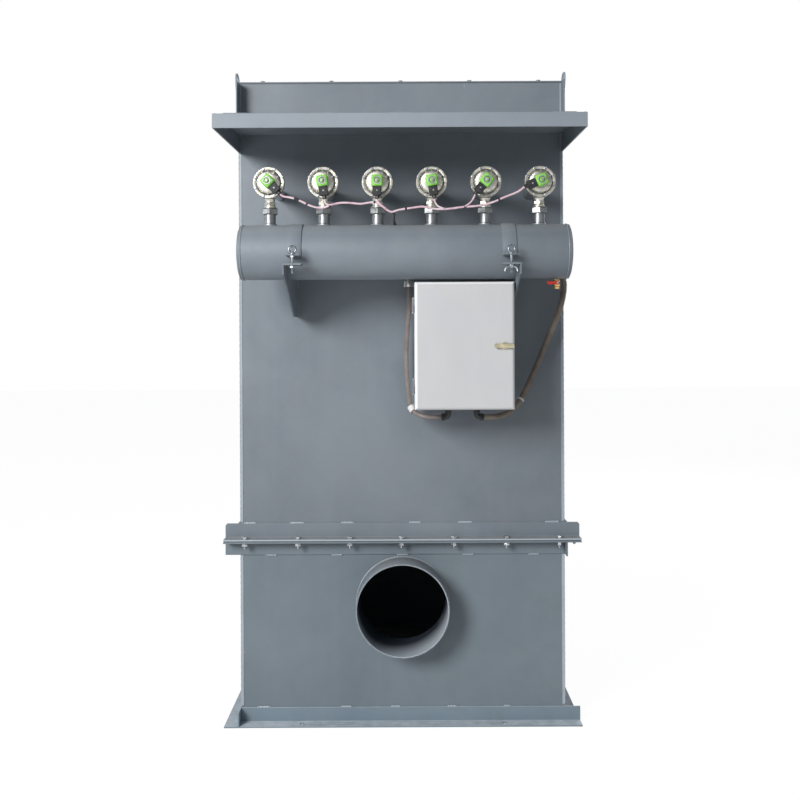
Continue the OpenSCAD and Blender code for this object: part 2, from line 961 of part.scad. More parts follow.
base_flange(0);  // base_flange_front
base_flange(2);  // base_flange_back
base_flange(3);  // base_flange_left
base_flange(1);  // base_flange_right
chamber_front();
chamber_back();
chamber_side(-1);  // chamber_left
chamber_side(1);  // chamber_right
inlet_collar();
lower_flange(0);  // lower_flange_front
lower_flange(2);  // lower_flange_back
union() { lower_flange(1); lower_flange(3); }  // lower_flange_sides
flange_gasket();
upper_flange(0);  // upper_flange_front
upper_flange(2);  // upper_flange_back
union() { upper_flange(1); upper_flange(3); }  // upper_flange_sides
housing_front();
housing_back();
housing_side(-1);  // housing_left
housing_side(1);  // housing_right
bag_plate();
filter_bags();
blow_pipes();
outlet_collar();
top_frame();
top_gasket();
top_cover();
hood_roof();
hood_cheeks();
lifting_eyes();
air_tank();
tank_ends();
tank_brackets();
tank_straps();
riser_pipes();
union_nuts();
valve_bodies();
valve_covers();
coils();
coil_plugs();
box_rails();
box_case();
box_door();
door_lock();
conduit_fittings();
drain_valve();
drain_lever();
valve_wiring();
wiring_drop();
left_conduit();
right_conduit();
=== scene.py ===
"""The looks of the pulse bag dust collector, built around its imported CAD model."""
import math
import random

import bmesh
import bpy
from mathutils import Matrix, Vector


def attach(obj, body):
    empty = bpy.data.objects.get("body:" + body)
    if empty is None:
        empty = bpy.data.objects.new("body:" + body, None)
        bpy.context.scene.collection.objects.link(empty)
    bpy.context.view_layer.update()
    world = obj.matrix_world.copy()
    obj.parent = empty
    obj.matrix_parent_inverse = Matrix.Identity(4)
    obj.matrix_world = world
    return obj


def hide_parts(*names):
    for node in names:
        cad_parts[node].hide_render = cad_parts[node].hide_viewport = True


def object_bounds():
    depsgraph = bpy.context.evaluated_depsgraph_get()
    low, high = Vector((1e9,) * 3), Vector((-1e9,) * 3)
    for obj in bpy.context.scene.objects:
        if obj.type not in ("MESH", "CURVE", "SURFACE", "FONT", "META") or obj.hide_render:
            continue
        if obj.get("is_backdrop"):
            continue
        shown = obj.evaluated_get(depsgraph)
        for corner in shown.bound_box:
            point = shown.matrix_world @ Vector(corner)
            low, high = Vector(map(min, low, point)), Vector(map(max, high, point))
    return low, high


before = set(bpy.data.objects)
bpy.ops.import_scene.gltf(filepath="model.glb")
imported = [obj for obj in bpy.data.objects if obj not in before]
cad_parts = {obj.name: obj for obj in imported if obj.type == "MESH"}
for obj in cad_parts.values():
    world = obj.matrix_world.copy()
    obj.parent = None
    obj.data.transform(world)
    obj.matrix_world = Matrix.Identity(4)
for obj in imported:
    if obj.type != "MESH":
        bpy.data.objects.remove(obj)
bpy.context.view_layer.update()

MM = 0.001
scene = bpy.context.scene
pick = random.Random(7)

# Directions in the row frame
UP, DOWN = (0, 0, 1), (0, 0, -1)
OUT, IN = (0, -1, 0), (0, 1, 0)
CORNERS = [(sx, sy) for sx in (-1, 1) for sy in (-1, 1)]
SQUARE = ((-1, -1), (1, -1), (1, 1), (-1, 1))

# Sizes and places from the CAD model, in millimetres, and the plugs' turns in degrees
WALL_X = 530
FRONT = -530
BASE_TOP = 50
LOWER_LEG = 550
UPPER_LEG = 653
INLET_Z = 390
OUTLET_Z = 1865
INLET_END = -635
OUTLET_END = 620
COLLAR_R = 150
FLANGE_HALF = 580
EYE_Y = 482
FLANGE_TOP = 608
FLANGE_UNDER = 595
COVER_TOP = 2100
TANK_X, TANK_Y, TANK_Z = 12, -780, 1519
TANK_R = 82.5
TANK_LEN = 975
TANK_END = 8
TAB_TOP = 1503
BRACKET_TOP = 1477
BRACKET_X = (-341.5, 348.5)
VALVE_X = [-395.5 + 163 * i for i in range(6)]
VALVE_Z = 1727
PLUG_TURN = [45, 8, 0, 8, -40, -68]
COIL_Y = -825
STRAP_X = (-315, 322)
BOX = ((41, -815, 1042), (341, -565, 1427))
SEAM_Y = -793
LOCK = (310, -815, 1234.5)
DRAIN = (472, -780, 1423.5)
ROOF_FRONT = 1895
ROOF_BACK = 1930
HOOD_FRONT = -995


def added(name, data):
    made = bpy.data.objects.new(name, data)
    scene.collection.objects.link(made)
    return made


# ---- camera
camera_data = bpy.data.cameras.new("camera")
camera_data.sensor_width = 36
camera_data.lens = 45.27
camera_data.shift_x = -0.00725
camera_data.shift_y = -0.08125
camera_data.clip_end = 100
camera = added("camera", camera_data)
camera.location = (0.014, -3.83, 1.268)
camera.rotation_euler = (math.pi / 2, 0.0047, 0)
scene.camera = camera


# ---- materials
class Tree:
    """Helpers for the nodes of a material or world."""

    def __init__(self, owner):
        owner.use_nodes = True
        self.nodes, self.links = owner.node_tree.nodes, owner.node_tree.links

    def feed(self, socket, value):
        if isinstance(value, bpy.types.NodeSocket):
            self.links.new(value, socket)
        else:
            socket.default_value = value

    def node(self, kind, inputs, **values):
        made = self.nodes.new(kind)
        for key, value in values.items():
            setattr(made, key, value)
        for key, value in inputs.items():
            self.feed(made.inputs[key], value)
        return made

    def math(self, what, a, b=0.0):
        return self.node("ShaderNodeMath", {0: a, 1: b}, operation=what).outputs[0]

    def blend(self, share, plain, bright, output):
        """Sends two shaders to an output, with a share of the second."""
        made = self.node("ShaderNodeMixShader", {
            0: share, 1: plain.outputs[0], 2: bright.outputs[0]})
        self.links.new(made.outputs[0], self.nodes[output].inputs["Surface"])


class Graph(Tree):
    """A Principled material with helpers for its procedural nodes."""

    def __init__(self, name, rough=0.5, metal=0.0, colour=(0.5, 0.5, 0.5)):
        self.material = bpy.data.materials.new(name)
        super().__init__(self.material)
        self.shader = self.nodes["Principled BSDF"]
        self.set("Roughness", rough)
        self.set("Metallic", metal)
        self.set("Base Color", (*colour, 1))
        self.where = self.nodes.new("ShaderNodeTexCoord").outputs["Object"]

    def set(self, socket, value):
        self.feed(self.shader.inputs[socket], value)

    def placed(self, stretch):
        return self.node("ShaderNodeMapping", {"Vector": self.where, "Scale": stretch}).outputs[0]

    def noise(self, scale, detail, rough=0.55, stretch=None, warp=0.0):
        where = self.where if stretch is None else self.placed(stretch)
        return self.node("ShaderNodeTexNoise", {
            "Vector": where, "Scale": scale, "Detail": detail, "Roughness": rough,
            "Distortion": warp}).outputs["Fac"]

    def span(self, value, low, high, to_low=0.0, to_high=1.0):
        return self.node("ShaderNodeMapRange", {
            0: value, 1: low, 2: high, 3: to_low, 4: to_high}).outputs[0]

    def times(self, a, b):
        return self.math("MULTIPLY", a, b)

    def largest(self, a, b):
        return self.math("MAXIMUM", self.math("ABSOLUTE", a), self.math("ABSOLUTE", b))

    def split(self, vector, axis):
        return self.node("ShaderNodeSeparateXYZ", {0: vector}).outputs[axis]

    def mix(self, factor, a, b):
        a, b = [(*c, 1) if isinstance(c, tuple) else c for c in (a, b)]
        return self.node("ShaderNodeMix", {0: factor, 6: a, 7: b}, data_type="RGBA").outputs[2]

    def bump(self, height, strength, distance, under=None):
        inputs = {"Height": height, "Strength": strength, "Distance": distance}
        if under is not None:
            inputs["Normal"] = under
        return self.node("ShaderNodeBump", inputs).outputs[0]

    def facing(self, axis="Z"):
        return self.split(self.nodes.new("ShaderNodeNewGeometry").outputs["Normal"], axis)

    def place(self, axis):
        """Where a point is in the cabinet's own frame, along one axis, in metres."""
        return self.split(self.nodes.new("ShaderNodeNewGeometry").outputs["Position"], axis)


def painted(name, deep, light, warm, rough=0.43, dust_and_top_light=0.35, rust=0.0,
            duct=False, fold_highlight=None, edges=None, overlay_tone=(0.47, 0.48, 0.48),
            falloff_shade=None):
    """Sprayed paint on sheet steel: clouds, faint runs, dust on what faces up, scuffs; where asked, painted
    shade low down, painted light and shade in the duct's bore, and painted highlights on lit tops, edges and
    folds.
    """
    g = Graph(name)
    clouds = g.noise(2.3, 5, 0.6, warp=0.4)
    patches = g.noise(11, 6, 0.62, warp=0.8)
    runs = g.noise(16, 3, 0.5, stretch=(1, 1, 0.05))
    colour = g.mix(g.span(clouds, 0.36, 0.64), deep, light)
    colour = g.mix(g.span(patches, 0.45, 0.75, 0, 0.4), colour, warm)
    colour = g.mix(g.span(runs, 0.52, 0.72, 0, 0.3), colour, light)
    fine = g.noise(190, 3, 0.7)
    colour = g.mix(g.span(fine, 0.66, 0.74, 0, 0.35), colour, tuple(1.5 * c for c in light))
    scuffs = g.times(g.span(g.noise(36, 4, 0.7, stretch=(1, 1, 0.25)), 0.67, 0.72),
                     g.span(g.noise(3.1, 2), 0.5, 0.62))
    colour = g.mix(g.times(scuffs, 0.35), colour, (0.42, 0.44, 0.46))
    # dust on upward faces; on the base the bright bluish tone there is a painted highlight on its lit tops
    top_dust_and_light = g.times(g.span(g.facing(), 0.55, 0.98),
                      g.span(g.noise(24, 5, 0.65), 0.3, 0.7, dust_and_top_light * 0.5, dust_and_top_light))
    colour = g.mix(top_dust_and_light, colour, overlay_tone)
    # painted shade: the colour darkens towards the bottom, where the light falls off
    if falloff_shade:
        low, high, left = falloff_shade
        colour = g.mix(g.span(g.place("Z"), low, high, 1 - left, 0), colour, (0.02, 0.022, 0.024))
    if rust:
        spots = g.times(g.span(g.noise(60, 5, 0.7), 0.68, 0.76), g.span(g.noise(7, 2), 0.56, 0.66))
        colour = g.mix(g.times(spots, rust), colour, (0.19, 0.10, 0.05))
    if duct:
        # painted light and shade: the bore is lighter at the mouth and painted blacker inwards, less so at
        # its lower right
        x, z = g.place("X"), g.math("SUBTRACT", g.place("Z"), INLET_Z * MM)
        r = g.math("SQRT", g.math("ADD", g.times(x, x), g.times(z, z)))
        lit = g.times(g.span(g.math("SUBTRACT", x, z), 0.02, 0.2), 0.07)
        depth = g.math("SUBTRACT", g.place("Y"), lit)
        inner = g.times(g.math("LESS_THAN", r, (COLLAR_R - 1.9) * MM), g.math("LESS_THAN", g.place("Y"), 0))
        colour = g.mix(inner, colour, (0.45, 0.50, 0.56))
        bore_shade = g.times(inner, g.span(depth, -0.67, -0.55, 0, 1))
        colour = g.mix(bore_shade, colour, (0.026, 0.033, 0.048))
    if edges:
        # painted highlight on the outer edges of the flange legs, where they catch the light
        out = g.largest(g.place("X"), g.place("Y"))
        colour = g.mix(g.math("GREATER_THAN", out, (FLANGE_HALF - 1.5) * MM), colour, edges)
    if fold_highlight:
        # painted highlight: folded edges that face left or up, towards the key light, are lighter
        fold_highlight_mask = g.math("MAXIMUM", g.span(g.facing("X"), -0.12, -0.55), g.span(g.facing(), 0.12, 0.55))
        colour = g.mix(fold_highlight_mask, colour, fold_highlight)
        hinge = g.math("LESS_THAN", g.split(g.where, "X"), 0.0407)
        colour = g.mix(hinge, colour, (0.17, 0.18, 0.20))
    g.set("Base Color", colour)
    shine = g.span(patches, 0.3, 0.7, rough - 0.06, rough + 0.1)
    g.set("Roughness", g.math("ADD", shine, g.times(top_dust_and_light, 0.3)))
    wave = g.bump(g.noise(5.5, 2, 0.4), 0.25, 0.004)
    g.set("Normal", g.bump(g.noise(520, 2, 0.5), 0.22, 0.0006, wave))
    return g.material


def metal(name, colour, rough, stain, brushed=None, metallic=1.0, pits=0.25):
    """Bare or plated metal with stains, fine pits and, where asked, a brushed grain."""
    g = Graph(name, metal=metallic)
    marks = g.noise(55, 6, 0.68, warp=0.5)
    shade = g.mix(g.span(marks, 0.42, 0.72, 0, 0.75), colour, stain)
    g.set("Base Color", g.mix(g.span(g.noise(420, 2), 0.6, 0.75, 0, 0.4), shade, stain))
    g.set("Roughness", g.span(g.noise(90, 4, 0.6), 0.3, 0.7, rough - 0.08, rough + 0.14))
    height = g.noise(700, 3, 0.6) if brushed is None else g.noise(300, 3, 0.6, stretch=brushed)
    g.set("Normal", g.bump(height, pits, 0.0005))
    return g.material


def plastic(name, colour, other, rough, grain=900.0, bumps=0.15, **sockets):
    """Moulded plastic or rubber with a fine grain and a little dust."""
    g = Graph(name)
    tone = g.mix(g.span(g.noise(38, 5, 0.6), 0.35, 0.7), colour, other)
    overlay_tone = tuple(min(1.0, 0.55 * c + 0.2) for c in colour)
    g.set("Base Color", g.mix(g.span(g.noise(160, 4, 0.7), 0.6, 0.78, 0, 0.3), tone, overlay_tone))
    g.set("Roughness", g.span(g.noise(70, 4), 0.3, 0.7, rough - 0.07, rough + 0.1))
    g.set("Normal", g.bump(g.noise(grain, 2, 0.5), bumps, 0.0004))
    for socket, value in sockets.items():
        g.set(socket.replace("_", " "), value)
    return g.material


def felt(name):
    """Needle felt: a fibrous nap with dusty patches."""
    g = Graph(name, rough=0.92)
    fibres = g.noise(900, 4, 0.75, stretch=(1, 1, 0.35))
    tone = g.mix(g.span(fibres, 0.3, 0.7), (0.60, 0.58, 0.52), (0.78, 0.77, 0.72))
    g.set("Base Color", g.mix(g.span(g.noise(9, 5, 0.6), 0.45, 0.7, 0, 0.6), tone, (0.42, 0.40, 0.37)))
    g.set("Normal", g.bump(fibres, 0.6, 0.0008))
    g.set("Sheen Weight", 0.35)
    return g.material


GREY_PAINT = ((0.172, 0.203, 0.238), (0.222, 0.256, 0.292), (0.212, 0.226, 0.240))
# The grey steel is painted darker towards the bottom and the lower chamber's steel darker throughout: painted
# shade
STEEL = painted("painted_steel", *GREY_PAINT, falloff_shade=(0.62, 1.45, 0.84))
STEEL_LOW = painted("painted_steel_low", (0.150, 0.192, 0.226), (0.196, 0.240, 0.276),
                    (0.170, 0.200, 0.216), rust=0.5, falloff_shade=(1.0, 1.1, 0.91))
STEEL_RUN = painted("painted_weld", (0.20, 0.232, 0.265), (0.29, 0.325, 0.36), (0.24, 0.25, 0.26),
                    rough=0.36, rust=0.35)
# The base's bright bluish tone on upward faces is painted light on its lit tops
STEEL_BASE = painted("painted_base", (0.168, 0.226, 0.276), (0.205, 0.266, 0.318),
                     (0.180, 0.216, 0.240), dust_and_top_light=0.85, rust=0.5, overlay_tone=(0.70, 0.76, 0.82))
STEEL_DUCT = painted("painted_duct", (0.168, 0.200, 0.236), (0.214, 0.246, 0.284),
                     (0.200, 0.212, 0.230), duct=True)
# A lighter copy of the paint for stitch welds, corner strips, collar rims and lifting eyes: a painted
# highlight
STEEL_HIGHLIGHT = painted("painted_edge", (0.34, 0.39, 0.44), (0.42, 0.47, 0.52), (0.30, 0.33, 0.36),
                     rough=0.34, rust=0.3)
# The door's folded edges that face left or up get a painted highlight
BOX_PAINT = painted("box_paint", (0.565, 0.57, 0.59), (0.61, 0.615, 0.635), (0.585, 0.58, 0.575),
                    rough=0.38, dust_and_top_light=0.2, fold_highlight=(0.86, 0.87, 0.88))
# A lighter copy of the grey paint on the hood's roof: painted light
STEEL_HOOD_LIT = painted("painted_hood", (0.214, 0.249, 0.289), (0.271, 0.309, 0.350), (0.252, 0.271, 0.290))
STEEL_TANK = painted("painted_tank", *GREY_PAINT, rough=0.56)
# The flange legs' outer edges get a painted highlight
STEEL_FLANGE = painted("painted_flange", (0.158, 0.190, 0.222), (0.204, 0.238, 0.272),
                       (0.190, 0.206, 0.222), dust_and_top_light=0.6, edges=(0.40, 0.45, 0.50))
ZINC = metal("zinc_plate", (0.62, 0.635, 0.65), 0.36, (0.34, 0.35, 0.36))
BOLT = metal("dull_zinc", (0.42, 0.455, 0.49), 0.36, (0.20, 0.22, 0.24))
PIPE = metal("pipe_metal", (0.37, 0.385, 0.40), 0.40, (0.22, 0.23, 0.24), brushed=(1, 1, 0.08))
UNION = metal("union_metal", (0.43, 0.445, 0.45), 0.36, (0.20, 0.20, 0.20))
BLOW = metal("blow_pipe_metal", (0.62, 0.63, 0.64), 0.42, (0.36, 0.36, 0.36), brushed=(1, 0.08, 1))
CAST = metal("cast_aluminium", (0.76, 0.745, 0.67), 0.34, (0.30, 0.285, 0.24), pits=0.6, metallic=0.9)
LOCK_METAL = metal("yellow_zinc", (0.83, 0.77, 0.56), 0.32, (0.48, 0.40, 0.24))
BRASS = metal("brass", (0.78, 0.57, 0.25), 0.30, (0.42, 0.27, 0.11))
FITTING = metal("fitting_metal", (0.83, 0.83, 0.82), 0.33, (0.50, 0.50, 0.48))
GASKET = plastic("painted_gasket", (0.13, 0.15, 0.17), (0.09, 0.10, 0.115), rough=0.6, bumps=0.3)
RUBBER = plastic("rubber", (0.022, 0.022, 0.024), (0.035, 0.034, 0.033), rough=0.62, bumps=0.3)
GREEN = plastic("green_resin", (0.24, 0.66, 0.08), (0.34, 0.78, 0.16), rough=0.34, bumps=0.08,
                Coat_Weight=0.3)
BLACK = plastic("black_plastic", (0.024, 0.024, 0.026), (0.04, 0.04, 0.042), rough=0.4)
RED = plastic("red_plastic", (0.60, 0.035, 0.02), (0.45, 0.03, 0.02), rough=0.38)
WHITE = plastic("white_plastic", (0.74, 0.74, 0.73), (0.66, 0.66, 0.65), rough=0.4)
PINK = plastic("pink_cable", (0.80, 0.70, 0.73), (0.66, 0.34, 0.46), rough=0.35, grain=500)
DARK = plastic("dark_cable", (0.05, 0.045, 0.045), (0.09, 0.08, 0.08), rough=0.45)
GREY_HOSE = plastic("grey_conduit", (0.27, 0.235, 0.22), (0.19, 0.16, 0.15), rough=0.42)
BROWN_HOSE = plastic("brown_conduit", (0.26, 0.215, 0.175), (0.16, 0.13, 0.105), rough=0.36)
FELT = felt("needle_felt")


# ---- mesh code
def angles(count):
    return [2 * math.pi * k / count for k in range(count)]


def across(axis):
    """Three directions square to each other, the last one along the axis."""
    w = Vector(axis).normalized()
    side = Vector((1, 0, 0)) if abs(w.x) < 0.9 else Vector((0, 1, 0))
    u = side - w * side.dot(w)
    u.normalize()
    return u, w.cross(u), w


def walls(rings, sides, closed=False):
    """The faces between rings of points, each joined to the next."""
    faces = []
    for i in range(rings if closed else rings - 1):
        j = (i + 1) % rings
        for k in range(sides):
            n = (k + 1) % sides
            faces.append([i * sides + k, i * sides + n, j * sides + n, j * sides + k])
    return faces


def signs(axis, along, first, second):
    """The three signs of a box's corner, given along an axis and then the next two."""
    made = [0, 0, 0]
    made[axis], made[(axis + 1) % 3], made[(axis + 2) % 3] = along, first, second
    return tuple(made)


class Shape:
    """Vertices and faces in millimetres, in the row frame."""

    def __init__(self):
        self.verts, self.faces = [], []

    def put(self, verts, faces):
        start = len(self.verts)
        self.verts += [Vector(v) for v in verts]
        self.faces += [[start + i for i in face] for face in faces]
        return self

    def lathe(self, at, axis, profile, sides, turn=0.0):
        """A profile of (radius, distance along the axis) turned round an axis through a point."""
        u, v, w = across(axis)
        verts, faces, rings = [], [], []
        for r, along in profile:
            start, count = len(verts), sides if r > 1e-6 else 1
            rings.append(list(range(start, start + count)))
            for a in angles(sides)[:count]:
                a += turn
                verts.append(Vector(at) + w * along + (u * math.cos(a) + v * math.sin(a)) * r)
        for a, b in zip(rings, rings[1:]):
            for k in range(sides):
                n = (k + 1) % sides
                if len(a) > 1 and len(b) > 1:
                    faces.append([a[k], a[n], b[n], b[k]])
                elif len(a) > 1:
                    faces.append([a[k], a[n], b[0]])
                elif len(b) > 1:
                    faces.append([a[0], b[n], b[k]])
        if tuple(profile[0]) != tuple(profile[-1]):
            faces += [ring for ring in (rings[0], rings[-1]) if len(ring) > 1]
        return self.put(verts, faces)

    def block(self, centre, size, r, turn=None):
        """A box with bevelled edges and corners."""
        turn = turn or Matrix.Identity(3)
        verts, number, faces = [], {}, []
        for sx, sy in CORNERS:
            for sz in (-1, 1):
                s = (sx, sy, sz)
                for axis in range(3):
                    p = [s[i] * (size[i] / 2 - (0 if i == axis else r)) for i in range(3)]
                    number[s, axis] = len(verts)
                    verts.append(Vector(centre) + turn @ Vector(p))
        for axis in range(3):
            a, b = (axis + 1) % 3, (axis + 2) % 3
            for s in (-1, 1):
                faces.append([number[signs(axis, s, sa, sb), axis] for sa, sb in SQUARE])
            for sa, sb in CORNERS:
                low, high = signs(axis, -1, sa, sb), signs(axis, 1, sa, sb)
                faces.append([number[low, a], number[high, a], number[high, b], number[low, b]])
        for s in {key[0] for key in number}:
            faces.append([number[s, 0], number[s, 1], number[s, 2]])
        return self.put(verts, faces)

    def tube(self, path, radius, sides, closed=False, lobes=0, twist=0.0):
        """A tube along points; radius is a number or one for each point."""
        path = [Vector(p) for p in path]
        n = len(path)
        radii = radius if isinstance(radius, (list, tuple)) else [radius] * n
        verts, u = [], None
        for i, p in enumerate(path):
            ahead = path[(i + 1) % n] if closed or i < n - 1 else p
            behind = path[i - 1] if closed or i > 0 else p
            w = (ahead - behind).normalized()
            u = across(w)[0] if u is None else (u - w * u.dot(w)).normalized()
            v = w.cross(u)
            for a in angles(sides):
                r = radii[i] * (1 - 0.09 + 0.09 * math.cos(lobes * a + twist * i)) if lobes else radii[i]
                verts.append(p + (u * math.cos(a) + v * math.sin(a)) * r)
        faces = walls(n, sides, closed)
        if not closed:
            faces.append(list(range(sides)))
            faces.append([(n - 1) * sides + k for k in range(sides)])
        return self.put(verts, faces)

    def bead(self, path, r, step=3.0, closed=False):
        """A weld bead: a tube whose thickness ripples as the weld pool did."""
        line = spaced(path, step, closed)
        radii = [r * (1 + 0.16 * math.sin(1.9 * i) + pick.uniform(-0.1, 0.1)) for i in range(len(line))]
        if not closed:
            radii[0], radii[-1] = 0.55 * r, 0.55 * r
        return self.tube(line, radii, 8, closed)

    def weld(self, at, axis, to, r):
        """A straight bead from a point, along X, Y or Z up to a coordinate."""
        end = list(at)
        end["XYZ".index(axis)] = to
        return self.bead([at, end], r)

    def turned(self, angle):
        """The same shape turned about the cabinet's upright axis."""
        m = Matrix.Rotation(angle, 3, "Z")
        return Shape().put([m @ v for v in self.verts], self.faces)

    def join(self, other):
        return self.put(other.verts, other.faces)

    def sides(self):
        """The shape, made for the front, repeated on all four sides of the cabinet."""
        made = Shape()
        for k in range(4):
            made.join(self.turned(k * math.pi / 2))
        return made


def ahead(at, far):
    """The point that lies further to the front."""
    return Vector(at) - Vector((0, far, 0))


def spaced(path, step, closed=False):
    """Points along a line, about a step apart."""
    path = [Vector(p) for p in path]
    if closed:
        path = path + path[:1]
    marks = [0.0]
    for a, b in zip(path, path[1:]):
        marks.append(marks[-1] + (b - a).length)
    count = max(2, round(marks[-1] / step))
    line, i = [], 0
    for k in range(count + (0 if closed else 1)):
        d = marks[-1] * k / count
        while i < len(path) - 2 and marks[i + 1] < d:
            i += 1
        line.append(path[i].lerp(path[i + 1], (d - marks[i]) / max(marks[i + 1] - marks[i], 1e-9)))
    return line


def smooth(points, parts=8):
    """A curve through the points, with more points between them."""
    p = [Vector(q) for q in points]
    line = []
    for i in range(len(p) - 1):
        a, b, c, d = p[max(i - 1, 0)], p[i], p[i + 1], p[min(i + 2, len(p) - 1)]
        for k in range(parts):
            t = k / parts
            line.append(0.5 * (2 * b + (c - a) * t + (2 * a - 5 * b + 4 * c - d) * t * t
                               + (3 * b - a - 3 * c + d) * t ** 3))
    return line + [p[-1]]


def piece(name, shape, material, node=None, body="root", sharp=38):
    """A shape made into an object that rides on a body."""
    mesh = bpy.data.meshes.new(name)
    mesh.from_pydata([v * MM for v in shape.verts], [], shape.faces)
    work = bmesh.new()
    work.from_mesh(mesh)
    bmesh.ops.remove_doubles(work, verts=work.verts, dist=2e-6)
    bmesh.ops.recalc_face_normals(work, faces=work.faces)
    work.to_mesh(mesh)
    work.free()
    mesh.shade_smooth()
    mesh.set_sharp_from_angle(angle=math.radians(sharp))
    mesh.materials.append(material)
    made = added(name, mesh)
    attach(made, body)
    if node:
        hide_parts(node)
    return made


# ---- cords
WIRING = [
    (-356.5, -841.5, 1688), (-347, -842, 1681), (-333, -843, 1679), (-314, -843, 1674),
    (-292, -843, 1665), (-270, -843, 1654), (-248, -842, 1648), (-226, -842, 1648),
    (-204, -842, 1656), (-180, -842, 1661), (-148, -842, 1661), (-118, -842, 1658),
    (-92, -842, 1662), (-72, -842, 1662), (-50, -842, 1648), (-28, -842, 1634),
    (-4, -842, 1640), (24, -842, 1644), (62, -842, 1649), (92, -842, 1644),
    (124, -842, 1641), (158, -842, 1644), (192, -842, 1648), (226, -842, 1650),
    (258, -842, 1656), (282, -842, 1664), (304, -842, 1674), (328, -842, 1683),
    (351, -842, 1693), (368, -841.5, 1705.8)]
DROP = [
    (-20, -838, 1630), (-20, -829, 1617), (-20, -817, 1609), (-19, -796, 1606),
    (-18, -770, 1607), (-16, -744, 1603), (-13, -718, 1592), (-9, -694, 1574),
    (-4, -674, 1550), (2, -654, 1524), (10, -629, 1503), (18, -602, 1486),
    (23, -585, 1471), (25, -579, 1459), (25, -577, 1447)]
LEFT_RUN = [
    (25, -577, 1424), (25, -577, 1386), (24, -578, 1348), (20, -579, 1304),
    (17, -579, 1260), (15, -580, 1216), (15, -582, 1172), (17, -585, 1130),
    (20, -591, 1092), (25, -601, 1056), (33, -614, 1031), (50, -632, 1017),
    (74, -648, 1010), (101, -658, 1009), (124.5, -659, 1009)]
RIGHT_RUN = [
    (510, -575, 1517), (514, -577, 1488), (521, -582, 1458), (525, -587, 1424),
    (519, -591, 1382), (506, -593, 1338), (487, -594, 1292), (464, -595, 1238),
    (441, -596, 1183), (417, -599, 1130), (393, -608, 1082), (366, -622, 1042),
    (331, -644, 1017), (293, -657, 1009), (258.5, -659, 1009)]


def cord(name, points, diameter, material, slot, node=None, ridge=None, lobes=0, lay="loose",
         stiffness="medium", with_pieces=()):
    """A free cord along a smooth curve: ridged as a flexible conduit, or twisted cores."""
    line = spaced(smooth(points), ridge / 2 if ridge else diameter * 0.4)
    if ridge:
        radii = [diameter * (0.59 if i % 2 else 0.5) for i in range(len(line))]
    else:
        radii = diameter / 2
    shape = Shape().tube(line, radii, 12, lobes=lobes, twist=0.35)
    made = piece(name, shape, material, node, sharp=60)
    return made


def bands(name, points, places, r, length, material):
    """Sleeves, ties or couplings round a cord at shares of its course."""
    line = smooth(points)
    shape = Shape()
    for share in places:
        i = min(int(share * (len(line) - 1)), len(line) - 2)
        w = line[i + 1] - line[i]
        shape.lathe(line[i], w, [
            (r - 1.5, -length / 2), (r, -length / 2 + 1), (r, length / 2 - 1),
            (r - 1.5, length / 2), (r - 1.5, -length / 2)], 20)
    return piece(name, shape, material)


LIMP = {"stiffness": "limp", "lay": "hanging"}
ties = bands("wiring_ties", WIRING, (0.16, 0.27, 0.44, 0.58, 0.76, 0.88), 4.6, 6, BLACK)
sleeve = bands("wiring_sleeve", WIRING, (0.115,), 4.4, 16, BLACK)
cord("harness", WIRING, 7, PINK, "pink_cable", "valve_wiring", lobes=3, with_pieces=[ties, sleeve],
     **LIMP)
cord("harness_drop", DROP, 9, DARK, "dark_cable", "wiring_drop", lobes=3, **LIMP)
coupling = bands("left_coupling", LEFT_RUN, (0.715,), 11.4, 22, WHITE)
cord("left_hose", LEFT_RUN, 14, GREY_HOSE, "grey_conduit", "left_conduit", ridge=4.0,
     with_pieces=[coupling])
rings = bands("right_rings", RIGHT_RUN, (0.757,), 12.0, 7, WHITE)
cord("right_hose", RIGHT_RUN, 17, BROWN_HOSE, "brown_conduit", "right_conduit", ridge=4.6,
     with_pieces=[rings])


# ---- CAD nodes keep their shape
def dress(material, bevel, *names):
    """Gives CAD nodes their material and, where asked, slightly broken edges."""
    for name in names:
        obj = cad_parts[name]
        obj.data.materials.clear()
        obj.data.materials.append(material)
        if bevel:
            weld = obj.modifiers.new("weld", "WELD")
            weld.merge_threshold = 1e-5
            edge = obj.modifiers.new("edges", "BEVEL")
            edge.width = bevel * MM
            edge.segments = 2
            edge.limit_method = "ANGLE"
            edge.angle_limit = math.radians(50)
            edge.harden_normals = False


def sides_of(name, sides=("front", "back", "left", "right")):
    return [name + "_" + side for side in sides]


SHEET_EDGE = 0.7
ROLLED_EDGE = 1.2
dress(STEEL, SHEET_EDGE, *sides_of("housing"), "hood_cheeks", "top_cover", "top_frame", "bag_plate",
      "outlet_collar")
dress(STEEL_HOOD_LIT, SHEET_EDGE, "hood_roof")
dress(STEEL_TANK, SHEET_EDGE, "air_tank")
dress(STEEL_DUCT, SHEET_EDGE, "inlet_collar")
dress(STEEL_LOW, SHEET_EDGE, *sides_of("chamber"))
dress(STEEL_FLANGE, ROLLED_EDGE, *sides_of("upper_flange", ("front", "back", "sides")))
dress(STEEL_LOW, ROLLED_EDGE, *sides_of("lower_flange", ("front", "back", "sides")))
dress(STEEL_TANK, ROLLED_EDGE, "tank_brackets", "tank_straps", "tank_ends")
dress(STEEL_BASE, ROLLED_EDGE, *sides_of("base_flange"))
dress(GASKET, 0, "flange_gasket", "top_gasket")
dress(PIPE, 0, "riser_pipes")
dress(BLOW, 0, "blow_pipes")
dress(ZINC, 0.8, "box_rails")
dress(BOX_PAINT, 0, "box_case", "box_door")


